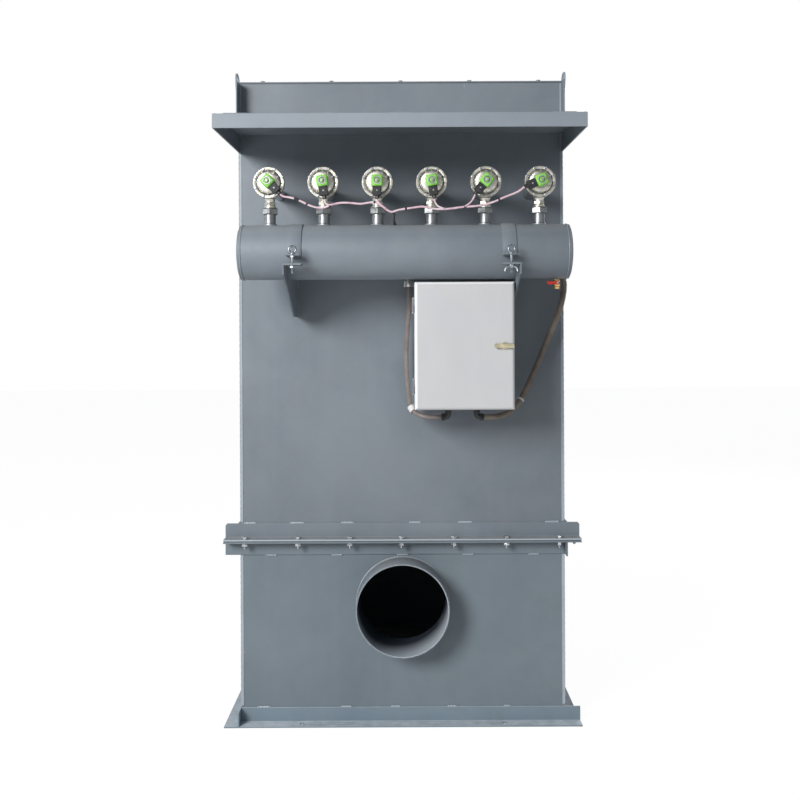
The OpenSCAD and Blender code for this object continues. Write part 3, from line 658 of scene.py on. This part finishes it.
# ---- fasteners
def hexagon(shape, at, axis, flats, height, start, turn, chamfer=0.12, bore=0.0):
    """A hexagon head or nut with its corners chamfered."""
    r = flats / math.sqrt(3)
    c = height * chamfer
    outline = [(0.9 * r, start), (r, start + c), (r, start + height - c), (0.9 * r, start + height)]
    if bore:
        outline = [(bore, start), *outline, (bore, start + height), (bore, start)]
    shape.lathe(at, axis, outline, 6, turn)


def washer(shape, at, axis, r, thick, start=0.0):
    shape.lathe(at, axis, [(r - 0.4, start), (r, start + 0.3), (r, start + thick - 0.3),
                           (r - 0.4, start + thick)], 24)


def thread(shape, at, axis, r, start, length, pitch=1.5):
    """The free end of a bolt, with its turns as fine rings and a blunt point."""
    outline = [(r * 0.9, start)]
    for k in range(max(1, int((length - 1) / pitch))):
        outline += [(r, start + (k + 0.3) * pitch), (r * 0.86, start + (k + 0.8) * pitch)]
    outline.append((r * 0.7, start + length))
    shape.lathe(at, axis, outline, 16)


def bolt(shape, at, axis, size, grip, end):
    """A hexagon bolt: head and washer at the point, nut and thread beyond the grip."""
    flats, head = 1.7 * size, 0.64 * size
    turn = pick.uniform(0, 1)
    back = -Vector(axis)
    washer(shape, at, back, size, 1.8)
    hexagon(shape, at, back, flats, head, 1.8, turn, 0.18)
    shape.lathe(at, back, [(0.42 * flats, 1.8 + head), (0.3 * flats, 2.1 + head), (0, 2.1 + head)], 16)
    washer(shape, at, axis, size, 1.8, grip)
    hexagon(shape, at, axis, flats, 0.8 * size, grip + 1.8, turn + 0.4, 0.15)
    thread(shape, at, axis, size / 2, grip + 1.8 + 0.8 * size, end)


flange_row = Shape()
for i in range(7):
    jitter = pick.uniform(-3, 3)
    bolt(flange_row, (-510 + 170 * i + jitter, FRONT - 37, FLANGE_TOP), DOWN, 10,
         FLANGE_TOP - FLANGE_UNDER, 9)
piece("flange_bolts", flange_row.sides(), ZINC)

cover_row = Shape()
for i in range(5):
    bolt(cover_row, (-454 + 227 * i, FRONT + 20, COVER_TOP), DOWN, 8, 12, 5)
piece("cover_bolts", cover_row.sides(), STEEL_RUN)

# ---- welds and edges
SHORT_WELDS = (
    (BASE_TOP, ((-477, -434), (-204, -168), (-40, -8), (146, 176), (330, 352))),
    (UPPER_LEG, ((-519, -480), (-368, -322), (-201, -158), (22, 61), (183, 228), (468, 514))))
stitches = Shape()
for z, spans in SHORT_WELDS:
    for low, high in spans:
        stitches.weld((low, FRONT - 2.2, z + 1), "X", high, 3.4)
for k in (1, 2, 3):
    for z in (BASE_TOP, UPPER_LEG):
        row = Shape()
        for i in range(6):
            x = -440 + 176 * i + pick.uniform(-25, 25)
            row.weld((x - 20, FRONT - 2.2, z + 1), "X", x + 20, 3.4)
        stitches.join(row.turned(k * math.pi / 2))
row = Shape()
for i in range(5):
    x = -430 + 215 * i
    row.weld((x - 18, FRONT - 2, LOWER_LEG - 1), "X", x + 18, 3)
stitches.join(row.sides())
piece("stitch_welds", stitches, STEEL_HIGHLIGHT)

# Corner strips in the lighter paint, a painted highlight on the cabinet's corners
corners = Shape()
for sx, sy in CORNERS:
    for low, high in ((BASE_TOP + 6, LOWER_LEG - 1), (UPPER_LEG + 3, COVER_TOP - 8)):
        middle = (low + high) / 2
        corners.block((sx * (WALL_X - 4), sy * (WALL_X + 0.6), middle), (8, 1.6, high - low), 0.6)
        corners.block((sx * (WALL_X + 0.6), sy * (WALL_X - 9), middle), (1.6, 20, high - low), 0.6)
        corners.bead([(sx * WALL_X, sy * WALL_X, low + 1), (sx * WALL_X, sy * WALL_X, high - 1)],
                     1.9, 6)
piece("corner_strips", corners, STEEL_HIGHLIGHT)

seams = Shape()
for sx in (-1, 1):
    seams.weld((sx * (WALL_X - 5), FRONT - 2, ROOF_BACK - 60), "Z", ROOF_BACK - 8, 2.4)
    edge = sx * (WALL_X - 4.5)
    seams.bead([(edge, FRONT - 4, ROOF_BACK), (edge, HOOD_FRONT + 7, ROOF_FRONT + 1)], 2.2)
for low, high in ((-500, -430), (-250, -190), (-30, 30), (180, 250), (430, 500)):
    seams.weld((low, FRONT - 3, ROOF_BACK + 2), "X", high, 3)
    seams.weld((low, HOOD_FRONT + 5, ROOF_FRONT + 1), "X", high, 1.6)
for x in BRACKET_X:
    for dx in (-3, 3):
        for low, high in ((1334, 1385), (1415, 1470)):
            seams.weld((x + dx, FRONT - 2.5, low), "Z", high, 3)
piece("weld_seams", seams, STEEL_RUN)


def ring(centre, u, v, r, count):
    return [Vector(centre) + (u * math.cos(a) + v * math.sin(a)) * r for a in angles(count)]


def circle(centre, axis, r, count=72):
    u, v, _ = across(axis)
    return ring(centre, u, v, r, count)


collar_welds = Shape()
for y, z in ((FRONT - 2, INLET_Z), (2 - FRONT, OUTLET_Z)):
    collar_welds.bead(circle((0, y, z), IN, COLLAR_R + 1), 3.6, closed=True)
piece("collar_welds", collar_welds, STEEL_RUN)

# Rolled rims of the collars
rims = Shape()
for y, z, out in ((INLET_END, INLET_Z, 1), (OUTLET_END, OUTLET_Z, -1)):
    rims.lathe((0, y, z), (0, out, 0), [(146.2, 0.2), (147.4, -0.0), (149.2, 0.0), (150.3, 0.9),
                                       (150.4, 5), (149.7, 6.2), (146.4, 6.2), (146.2, 0.2)], 96)
piece("collar_rims", rims, STEEL_HIGHLIGHT)
# A sleeve lines the inlet and runs on behind the wall, with two slots in it
SLEEVE_R = 145.4
sleeve_in = Shape().lathe((0, INLET_END + 2, INLET_Z), IN, [
    (SLEEVE_R, 0), (SLEEVE_R + 1.4, 0), (SLEEVE_R + 1.4, 198), (SLEEVE_R, 198), (SLEEVE_R, 0)], 96)
piece("inlet_sleeve", sleeve_in, STEEL_DUCT)
slots = Shape()
for angle, y in ((-49, -494), (-28, -478)):
    a = math.radians(angle)
    r = SLEEVE_R - 0.2
    at = Vector((math.cos(a) * r, y, INLET_Z + math.sin(a) * r))
    along = Vector((-math.sin(a), 0, math.cos(a)))
    line = [at + along * (t - 20) for t in range(0, 41, 4)]
    slots.tube(line, 2.4, 8)
piece("inlet_slots", slots, RUBBER)

# ---- lifting eyes
loop = [(-30, z) for z in range(2004, 2107, 10)]
loop += [(-30 * math.cos(a), 2107 + 30 * math.sin(a)) for a in angles(48)[:25]]
loop += [(30, z) for z in range(2104, 2003, -10)]
eyes = Shape()
for sx, sy in CORNERS:
    cy = sy * EYE_Y
    eyes.tube([(sx * (WALL_X + 6.3 + (z - 2020) * 0.061), cy + y, z) for y, z in loop], 3.5, 12)
    eyes.block((sx * (WALL_X + 2.1), cy, 2025), (4, 74, 49), 1.2)
    for y in (-26, 26):
        eyes.bead([(sx * (WALL_X + 5.6), cy + y, 2008), (sx * (WALL_X + 6.8), cy + y, 2046)], 2.4)
piece("bent_eyes", eyes, STEEL_HIGHLIGHT, "lifting_eyes")

# ---- air tank
tank_welds = Shape()
for s in (-1, 1):
    tank_welds.bead(circle((TANK_X + s * TANK_LEN / 2, TANK_Y, TANK_Z), (1, 0, 0), TANK_R - 0.6),
                    2.6, 4, True)
tank_welds.bead([(x, TANK_Y + 58.5, TANK_Z + 59) for x in (-472, 496)], 2.0, 5)
for x in VALVE_X:
    foot = []
    for a in angles(36):
        dy = 18.6 * math.sin(a)
        foot.append((x + 18.6 * math.cos(a), TANK_Y + dy,
                     TANK_Z + math.sqrt(TANK_R ** 2 - dy * dy) + 0.6))
    tank_welds.bead(foot, 2.6, 3, True)
tank_welds.bead(circle((DRAIN[0], DRAIN[1], TANK_Z - TANK_R + 0.2), UP, 9.6, 30), 1.8, 2.5, True)
piece("tank_welds", tank_welds, STEEL_RUN)
dished = Shape()
for s in (-1, 1):
    dished.lathe((TANK_X + s * (TANK_LEN / 2 + TANK_END), TANK_Y, TANK_Z), (s, 0, 0), [
        (79, 0), (79, 0.8), (74, 3.4), (62, 5.6), (44, 7), (20, 7.8), (0, 8)], 64)
piece("tank_end_domes", dished, STEEL_TANK)

# Strap bolts: ring bolts in front, one with a wing nut, and plain bolts behind
clamps = Shape()
for x, tilt, wing in ((STRAP_X[0], 0.0, False), (STRAP_X[1], 0.5, True)):
    y = TANK_Y - 127
    base = Vector((x, y, TAB_TOP + 0.5))
    ring_at = base + Vector((2 * math.sin(tilt), 0, 13.5))
    u = Vector((math.cos(tilt), 0.25, math.sin(tilt))).normalized()
    v = Vector((-math.sin(tilt), 0, math.cos(tilt)))
    under = BRACKET_TOP - 5
    clamps.tube(ring(ring_at, u, v, 10, 28), 3.3, 10, True)
    clamps.lathe(base, UP, [(4.8, 0), (4.8, 2.5), (4, 4), (3.6, 6)], 16)
    washer(clamps, (x, y, TAB_TOP), UP, 9, 1.6, 0)
    clamps.lathe((x, y, TAB_TOP + 2), DOWN, [(4, 0), (4, 33), (3.5, 34)], 16)
    washer(clamps, (x, y, under), DOWN, 9, 1.6)
    thread(clamps, (x, y, under), DOWN, 4, 1.6, 22, 1.25)
    if wing:
        clamps.lathe((x, y, under - 1.6), DOWN, [
            (4, 0), (8.5, 0), (7.5, 6), (5, 9), (4, 9), (4, 0)], 20)
        for s in (-1, 1):
            lobe = [(x + s * 6, y, under - 6), (x + s * 12, y, under - 7),
                    (x + s * 17, y, under - 13), (x + s * 18.5, y, under - 20)]
            clamps.tube(smooth(lobe, 5), [3.2 + 0.09 * i for i in range(16)], 10)
    else:
        hexagon(clamps, (x, y, under - 1.6), DOWN, 13, 6.5, 0, 0.3)
        hexagon(clamps, (x, y, TAB_TOP), DOWN, 13, 5, 3, 0.1)
    bolt(clamps, (x, TANK_Y + 118, BRACKET_TOP + 3), DOWN, 10, 8, 6)
piece("strap_bolts", clamps, BOLT)


# ---- pulse valves
BODY_SIDE = [
    (17.3, 35), (21, 35), (22, 34), (22, 30), (26, 28), (33, 24), (38, 16), (39, 8), (39, -4),
    (40, -8), (45.5, -11.2), (47, -12.6), (47, -22.6), (46, -23.6), (30, -23.6)]
NECK_SIDE = [
    (15, 0), (17.5, 0), (18, 1.5), (18, 4), (14.5, 6), (14, 9), (14, 22), (16, 27), (20, 36), (21, 60)]
COVER_SIDE = [
    (30, 25.4), (46, 25.4), (47, 26.4), (47, 32.6), (45.8, 33.8), (39.5, 34.2), (37, 33), (35.6, 33.4),
    (34.8, 39), (33.5, 42), (30, 44.2), (22, 45), (0, 45)]
SKIN_RIM = [(30, 23.5), (47.3, 23.5), (47.6, 24.5), (47.3, 25.5), (30, 25.5), (30, 23.5)]
GROOVE_SHADE_RING = [(36.2, 32), (37.6, 32), (37.6, 34.5), (36.2, 34.5), (36.2, 32)]
bodies, covers, skins, screws = Shape(), Shape(), Shape(), Shape()
nuts, threads, coils, coil_metal, plugs = Shape(), Shape(), Shape(), Shape(), Shape()


def spokes(count, turn=0.0):
    """Directions out from a valve's axis, each with the matrix that turns a block to it."""
    for k in range(count):
        a = 2 * math.pi * (k + turn) / count
        yield Vector((math.cos(a), 0, math.sin(a))), Matrix.Rotation(-a, 3, "Y")


def lug(at):
    """A lug on the rim of body and cover, with a screw through both."""
    covers.lathe(ahead(at, 25.4), OUT, [(4.2, 0), (5.2, 0.5), (5.2, 9.4), (4.6, 10)], 16)
    bodies.lathe(ahead(at, 12), OUT, [(4.6, -3), (5.2, -2), (5.2, 11), (4.2, 11.5)], 16)
    washer(screws, ahead(at, 35.2), OUT, 4.6, 1)
    hexagon(screws, ahead(at, 36.2), OUT, 7.6, 3.4, 0, pick.uniform(0, 1), 0.25)
    hexagon(screws, ahead(at, 10), IN, 7.6, 3.6, 0, pick.uniform(0, 1), 0.2)


def valve(x):
    """The cast body with its neck, the ribbed cover and the diaphragm's rim between them."""
    middle = Vector((x, TANK_Y, VALVE_Z))
    bodies.lathe(middle, IN, BODY_SIDE, 48)
    bodies.lathe((x, TANK_Y, VALVE_Z - 73), UP, NECK_SIDE, 32)
    hexagon(bodies, (x, TANK_Y, VALVE_Z - 65), UP, 30, 10, 0, math.pi / 6, 0.14)
    for out, turn in spokes(8, 0.5):
        bodies.block(ahead(middle + out * 40, 3), (8, 18, 3), 0.8, turn)
        lug(middle + out * 42.6)
    skins.lathe(middle, OUT, SKIN_RIM, 48)
    covers.lathe(middle, OUT, COVER_SIDE, 48)
    # A black ring in the cover's groove: painted shade in the groove
    skins.lathe(middle, OUT, GROOVE_SHADE_RING, 48)
    for out, turn in spokes(12):
        covers.block(ahead(middle + out * 32.5, 41.2), (9, 8, 2), 0.7, turn)


def union(x):
    """A chamfered hexagon nut with a collar over it, on the threaded pipe end."""
    at = (x, TANK_Y, VALVE_Z - 94)
    hexagon(nuts, at, UP, 43, 19, 0.6, math.pi / 6 + pick.uniform(-0.12, 0.12), 0.12, 17.2)
    nuts.lathe(at, UP, [(18, 19.4), (22.4, 19.4), (22.4, 20.6), (21, 21.2), (18, 21.2), (18, 19.4)], 32)
    thread(threads, at, DOWN, 16.9, -0.5, 10, 2.0)
    threads.lathe((x, TANK_Y, TANK_Z + TANK_R), UP, [
        (17, -1), (20.2, -1), (20.2, 3), (18.5, 4.6), (17, 4.6), (17, -1)], 32)


def coil(x, degrees):
    """A moulded block on the cover with its round nut, and the plug with its screw and gland."""
    at = Vector((x, COIL_Y, VALVE_Z))
    turn = Matrix.Rotation(math.radians(-degrees), 3, "Y")

    def spot(*offset):
        return at + turn @ Vector(offset)

    for size, r in (((33, 30, 33), 2.6), ((29, 32, 29), 2.0)):
        coils.block(spot(0, -16, 0), size, r, turn)
    coils.block(spot(0, -16.5, -16.6), (24, 20, 1.6), 0.6, turn)
    for s in (-1, 1):
        coils.block(spot(s * 16.4, -16, 0), (1.4, 22, 20), 0.6, turn)
    front = ahead(at, 32)
    coil_metal.lathe(front, OUT, [
        (8.4, 0), (12, 0), (12, 1.4), (11.4, 2), (9, 2), (8.4, 1.2), (8.4, 0)], 32)
    plugs.lathe(front, OUT, [(7.4, 0), (8.4, 0), (8.4, 0.8), (7.4, 0.8), (7.4, 0)], 24)
    coil_metal.lathe(front, OUT, [(4.4, 0.5), (4.4, 4.8), (3.6, 5.6), (0, 5.8)], 20)
    coil_metal.lathe(at + Vector((0, 0.1, 0)), OUT, [(13, 0), (13, 1.6), (12.4, 2.2)], 6)
    for y, z, size, r in ((-16.5, -31, (26, 22.6, 26.8), 2.4), (-16.5, -18.4, (27, 24, 1.8), 0.6),
                          (-28.3, -30, (14, 1.6, 14), 0.6)):
        plugs.block(spot(0, y, z), size, r, turn)
    for z in (-26, -34):
        for s in (-1, 1):
            plugs.block(spot(s * 13, -16.5, z), (1.2, 16, 2), 0.4, turn)
    down = turn @ Vector(DOWN)
    tip = spot(0, -16.5, -44.3)
    plugs.lathe(tip, down, [(6.4, -1), (6.6, 0), (6.6, 2.4), (6, 3)], 24)
    hexagon(plugs, tip, down, 11.4, 6, 2.6, 0.2, 0.2)
    plugs.lathe(tip, down, [(4.6, 8.4), (4.6, 9.4), (3.6, 10)], 20)
    coil_metal.lathe(spot(0, -28.9, -30), OUT, [(2.3, 0), (2.3, 0.9), (1.8, 1.3), (0, 1.3)], 16)


for x, degrees in zip(VALVE_X, PLUG_TURN):
    valve(x)
    union(x)
    coil(x, degrees)

piece("valve_castings", bodies, CAST, "valve_bodies")
piece("cover_castings", covers, CAST, "valve_covers")
piece("diaphragms", skins, RUBBER)
piece("cover_screws", screws, ZINC)
piece("hexagon_unions", nuts, UNION, "union_nuts")
piece("pipe_threads", threads, PIPE)
piece("moulded_coils", coils, GREEN, "coils")
piece("coil_nuts", coil_metal, ZINC)
piece("moulded_plugs", plugs, BLACK, "coil_plugs")

# Short leads from the middle plugs into the harness
LEADS = [
    [(-224.9, -841.5, 1671.6), (-224.5, -842, 1664), (-220, -843, 1657), (-211, -845, 1654.5),
     (-199, -846, 1657)],
    [(-69.5, -841.5, 1671), (-68, -843.5, 1665.5), (-63, -846, 1659), (-55, -846.5, 1652),
     (-44, -846.5, 1644)],
    [(101.1, -841.5, 1671.6), (102.5, -842, 1663), (107, -843, 1654), (116, -845, 1646.5),
     (130, -846.5, 1642.5)],
    [(221.5, -841.5, 1684), (218, -842, 1675), (212, -843, 1665), (203, -845, 1655.5),
     (191, -846.5, 1649)]]
for i, points in enumerate(LEADS, 1):
    between = [tuple((Vector(a) + Vector(b)) / 2) for a, b in zip(points, points[1:])]
    cord("lead_%d" % i, [points[0], *between, points[-1]], 5, PINK, "pink_cable", **LIMP)

# ---- control box
(x0, _, z0), (x1, y1, z1) = BOX
xm, zm = (x0 + x1) / 2, (z0 + z1) / 2
case = Shape()
for s in (-1, 1):
    for z in (z0 + 42, z1 - 42):
        case.block((xm + s * 112, y1 - 1, z), (26, 3, 20), 0.8)
for s in (-1, 1):
    case.block((xm, SEAM_Y + 5, zm + s * 189.5), (294, 8, 2), 0.6)
for s in (-1, 1):
    case.block((xm + s * 147, SEAM_Y + 5, zm), (2, 8, 379), 0.6)
piece("case_edges", case, BOX_PAINT)
inside = Shape()
inside.block((xm, y1 - 14, zm), (258, 2, 342), 0.5)
for sx, sz in CORNERS:
    inside.lathe((xm + sx * 120, y1 - 2, zm + sz * 164), OUT, [(4, 0), (4, 16), (3.4, 17), (0, 17)], 16)
for z in (z0 + 120, z0 + 250):
    inside.block((xm, y1 - 20, z), (230, 1.4, 25), 0.4)
    for dz in (-15, 15):
        inside.block((xm, y1 - 22, z + dz), (230, 1, 6), 0.3)
piece("mounting_plate", inside, ZINC)
gear = Shape()
for k in range(18):
    gear.block((x0 + 52 + 8.4 * k, y1 - 40, z0 + 120), (7.8, 38, 52), 1)
for k, (wide, tall, deep) in enumerate(((36, 84, 62), (72, 92, 70), (45, 84, 62))):
    gear.block((x0 + 66 + 78 * k, y1 - 21 - deep / 2, z0 + 250), (wide, deep, tall), 2.5)
    gear.block((x0 + 66 + 78 * k, y1 - 22 - deep, z0 + 252), (wide * 0.7, 4, tall * 0.5), 1.5)
piece("control_gear", gear, WHITE)

seal = Shape()
for s in (-1, 1):
    z = zm + s * 179.5
    seal.tube([(x0 + 12, SEAM_Y - 4, z), (x1 - 12, SEAM_Y - 4, z)], 3.2, 10)
for s in (-1, 1):
    x = xm + s * 137
    seal.tube([(x, SEAM_Y - 4, z0 + 12), (x, SEAM_Y - 4, z1 - 12)], 3.2, 10)
piece("door_seal", seal, RUBBER, body="box_door")
lx, ly, lz = LOCK
stiff = Shape()
for s in (-1, 1):
    stiff.block((xm + s * 124, SEAM_Y - 13, zm), (14, 6, 340), 1)
stiff.lathe((lx, SEAM_Y - 19, lz), IN, [(12, 0), (12, 3), (9, 4), (9, 13), (8, 14), (0, 14)], 24)
stiff.block((lx + 8, SEAM_Y - 4, lz), (34, 2.4, 14), 0.8)
piece("door_stiffeners", stiff, ZINC, body="box_door")
# The lower half of each hinge is the case's and the upper half the door's
for name, s, body in (("case_hinge_caps", -1, "root"), ("door_hinge_caps", 1, "box_door")):
    caps = Shape()
    for z in (z0 + 70, z1 - 70):
        caps.lathe((x0 - 4.5, SEAM_Y, z + s * 22), (0, 0, s), [(3.9, 0.1), (3.9, 1), (3, 1.8), (0, 2)], 20)
    piece(name, caps, ZINC, body=body)

# Lock: a round head, and a lever with a folded grip
lock = Shape()
lock.lathe((lx, ly - 0.4, lz), OUT, [(10, 0), (11, 0.8), (11, 4.6), (10, 5.8), (8, 6)], 32)
lock.lathe((lx, ly, lz), OUT, [(7.6, 5.5), (7.6, 10)], 28)
lock.lathe((lx - 24.6, ly, lz), OUT, [
    (0, 7.6), (6.6, 7.6), (7.1, 8.4), (7.1, 12.6), (6.4, 13.8), (0, 14.1)], 28)
lock.block((lx + 3, ly - 10.8, lz), (50, 4.4, 13), 1.6)
for dz in (-4.4, 0, 4.4):
    lock.block((lx + 8, ly - 12.7, lz + dz), (38, 2.4, 2.4), 0.9)
piece("lock_lever", lock, LOCK_METAL, "door_lock", "door_lock")

# ---- conduit fittings
BEND = 11
fits, gland_nuts, elbows = Shape(), Shape(), Shape()
rx, ry, rz = LEFT_RUN[0]
fits.lathe((rx, ry, rz), UP, [
    (7.2, 0.4), (10.2, 0.4), (10.6, 1.4), (10.6, 6.6), (11.4, 7), (11.4, 12), (9.4, 13), (9, 17.4),
    (7.6, 18.4), (7.4, 22.4), (4.8, 22.4)], 32)
hexagon(fits, (rx, ry, rz + 6.8), UP, 20.5, 5.4, 0, 0.3, 0.15)
fits.block((rx, ry + 24, rz + 11.5), (18, 46, 12), 1.2)
fits.block((rx, FRONT - 2.5, rz + 11.5), (34, 3, 20), 0.8)
for s in (-1, 1):
    hexagon(fits, (rx + s * 13, FRONT - 4, rz + 11.5), OUT, 7, 3.4, 0, 0.2, 0.2)
for (tx, ty, tz), way in ((LEFT_RUN[-1], 1), (RIGHT_RUN[-1], -1)):
    gx = tx + way * 2 * BEND
    elbow = [(tx + way, ty, tz), (tx + way * 8, ty, tz)]
    elbow += [(tx + way * (BEND + BEND * math.sin(a)), ty, tz + BEND - BEND * math.cos(a))
              for a in (math.radians(15 * k) for k in range(7))]
    elbow += [(gx, ty, tz + 24), (gx, ty, z0 + 0.5)]
    elbows.tube(elbow, 9.6, 20)
    for start, long in ((0.8, 5.4), (7, 5.6)):
        hexagon(elbows, (tx, ty, tz), (way, 0, 0), 21, long, start, 0.26 * way, 0.16)
    for k in range(3):
        elbows.lathe((gx, ty, tz + 14.5 + 3 * k), UP, [(9.4, 0), (10.4, 0.6), (10.4, 1.4), (9.4, 2)], 24)
    hexagon(gland_nuts if way < 0 else elbows, (gx, ty, z0 - 8.2), UP, 28, 8, 0, 0.15, 0.12)
    hexagon(gland_nuts, (gx, ty, z0 + 1.8), UP, 28, 5, 0, 0.35, 0.12)
wx, wy, wz = RIGHT_RUN[0]
fits.lathe((wx, wy, wz), UP, [
    (9, 0.6), (11.4, 0.6), (12, 1.6), (12, 7), (13, 8), (13, 22), (11.8, 25), (7, 27), (0, 27.2)], 32)
hexagon(fits, (wx, wy, wz + 1), UP, 23, 6.4, 0, 0.2, 0.15)
fits.lathe((wx, FRONT, wz + 14), OUT, [
    (14.5, 0), (15, 0.8), (15, 3.4), (13.4, 4.6), (10.6, 5), (10.6, 42)], 32)
hexagon(fits, (wx, FRONT, wz + 14), OUT, 25, 7, 4, 0.1, 0.14)
piece("hose_fittings", fits, FITTING, "conduit_fittings")
piece("gland_elbows", elbows, BLACK)
piece("gland_nuts", gland_nuts, WHITE)

# ---- drain valve
drain = Shape()
dx, dy, dz = DRAIN
drain.lathe((dx, dy, dz), UP, [(5.6, 7), (8, 7), (8, 13.6)], 24)
hexagon(drain, (dx, dy, dz + 5.6), UP, 19, 5, 0, 0, 0.14)
drain.lathe((dx, dy, dz), UP, [
    (6, -17.6), (7.4, -17.6), (7.8, -17), (7.8, -11), (8.8, -9), (9.9, -5), (10.1, 1), (9.4, 5),
    (8.2, 7)], 32)
hexagon(drain, (dx, dy, dz - 13.4), UP, 16.4, 4.4, 0, 0.2, 0.14)
drain.lathe((dx, dy, dz), OUT, [(6.2, 6), (6.2, 12), (5.2, 13), (4, 13), (4, 18.2)], 24)
piece("ball_valve", drain, BRASS, "drain_valve")
lever = Shape()
lever.lathe((dx, dy, dz), OUT, [(4.2, 18.4), (6, 18.4), (6.4, 19), (6.4, 20.8), (5.6, 21.4), (4.2, 21.4)], 24)
grip = [(dx + 3, dy - 20.4, dz), (dx - 7, dy - 20.6, dz), (dx - 13, dy - 21.8, dz - 0.4),
        (dx - 20, dy - 22.4, dz - 0.6), (dx - 27, dy - 22.2, dz - 0.4), (dx - 31.4, dy - 22, dz)]
for a, b in zip(smooth(grip, 3), smooth(grip, 3)[1:]):
    lever.block((a + b) / 2, ((b - a).length + 1.2, 2.6, 9.6), 0.9,
                Matrix.Rotation(math.atan2(b.y - a.y, b.x - a.x), 3, "Z"))
piece("lever_grip", lever, RED, "drain_lever", "drain_lever")
nut = Shape()
hexagon(nut, (dx, dy - 21.2, dz), OUT, 7, 2.6, 0, 0.2, 0.2)
piece("lever_nut", nut, ZINC, body="drain_lever")

# ---- filter bags
INSIDE = 1052
BAG_PITCH = INSIDE / 6.45
PLATE_TOP = 1516
BAG_R = 61.5
BAG_LONG = 828
ROUND, LEVELS = 40, 24
RIM_SIDE = [
    (56, -3), (62.3, -3), (62.3, 0.2), (68, 0.2), (68.4, 1.2), (67.4, 2.6), (60, 3), (56, 2.4), (56, -3)]


def bag(cloth, cx, cy):
    """One bag: its cloth lies on the cage's ten wires and hollows between them."""
    phase = pick.uniform(0, 6)
    verts = []
    for j in range(LEVELS + 1):
        t = j / LEVELS
        shrink = 1.0 if t < 0.97 else 0.97
        for a in angles(ROUND):
            hollow = 2.6 * (0.5 - 0.5 * math.cos(10 * a)) * min(1, 8 * t)
            r = BAG_R - hollow - 0.5 * math.sin(7 * t * math.pi + phase)
            verts.append((cx + r * shrink * math.cos(a), cy + r * shrink * math.sin(a),
                          PLATE_TOP - 4 - t * BAG_LONG))
    cloth.put(verts, walls(LEVELS + 1, ROUND) + [[LEVELS * ROUND + k for k in range(ROUND)]])


bag_rims = Shape()
for row in range(6):
    cloth = Shape()
    for col in range(6):
        cx, cy = (col - 2.5) * BAG_PITCH, (row - 2.5) * BAG_PITCH
        bag(cloth, cx, cy)
        bag_rims.lathe((cx, cy, PLATE_TOP), UP, RIM_SIDE, ROUND)
    bags = piece("bag_row_%d" % (row + 1), cloth, FELT, "filter_bags", sharp=60)
piece("bag_rims", bag_rims, ZINC)

# ---- stage and light
FLOOR_HALF = 20
FLOOR_Z = -0.0005
SHADE_HALF = 0.54
floor = Graph("pale_floor", rough=0.9, colour=(0.62, 0.62, 0.62))
paths = floor.nodes.new("ShaderNodeLightPath").outputs
seen = floor.math("MAXIMUM", paths["Is Camera Ray"],
                  floor.math("MAXIMUM", paths["Is Glossy Ray"], paths["Is Transmission Ray"]))
spot = floor.node("ShaderNodeSeparateXYZ", {0: floor.where}).outputs
away = floor.math("GREATER_THAN", floor.largest(spot["X"], spot["Y"]), SHADE_HALF)
glow = floor.node("ShaderNodeEmission", {"Color": (1, 1, 1, 1), "Strength": 1.09})
floor.blend(floor.times(floor.times(seen, away), 0.88), floor.shader, glow, "Material Output")
ground = bpy.data.meshes.new("floor")
ground.from_pydata([(sx * FLOOR_HALF, sy * FLOOR_HALF, FLOOR_Z) for sx, sy in SQUARE], [],
                   [[0, 1, 2, 3]])
ground.materials.append(floor.material)
added("floor", ground)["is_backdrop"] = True

scene.world = bpy.data.worlds.new("studio")
sky = Tree(scene.world)
soft = sky.nodes["Background"]
sky.feed(soft.inputs["Color"], (0.93, 0.97, 1.0, 1))
sky.feed(soft.inputs["Strength"], 0.26)
white = sky.node("ShaderNodeBackground", {"Color": (1, 1, 1, 1), "Strength": 1.0})
ways = sky.nodes.new("ShaderNodeLightPath").outputs
either = sky.math("MAXIMUM", ways["Is Camera Ray"], ways["Is Transmission Ray"])
sky.blend(either, soft, white, "World Output")


def lamp(name, at, to, size, power, colour):
    data = bpy.data.lights.new(name, "AREA")
    data.shape = "DISK"
    data.size = size
    data.energy = power
    data.color = colour
    made = added(name, data)
    made.location = at
    made.rotation_euler = (Vector(to) - Vector(at)).to_track_quat("-Z", "Y").to_euler()


lamp("key", (-3.2, -5.3, 3.1), (0, -0.5, 1.2), 2.4, 330, (1.0, 0.995, 0.985))
lamp("side", (-4.5, 0.5, 2.2), (0, 0, 1.2), 1.8, 18, (0.95, 0.98, 1.0))
lamp("back", (3.5, 4.5, 3.5), (0, 0.3, 1.2), 2.0, 90, (1.0, 1.0, 1.0))

scene.view_settings.view_transform = "Standard"

low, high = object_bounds()
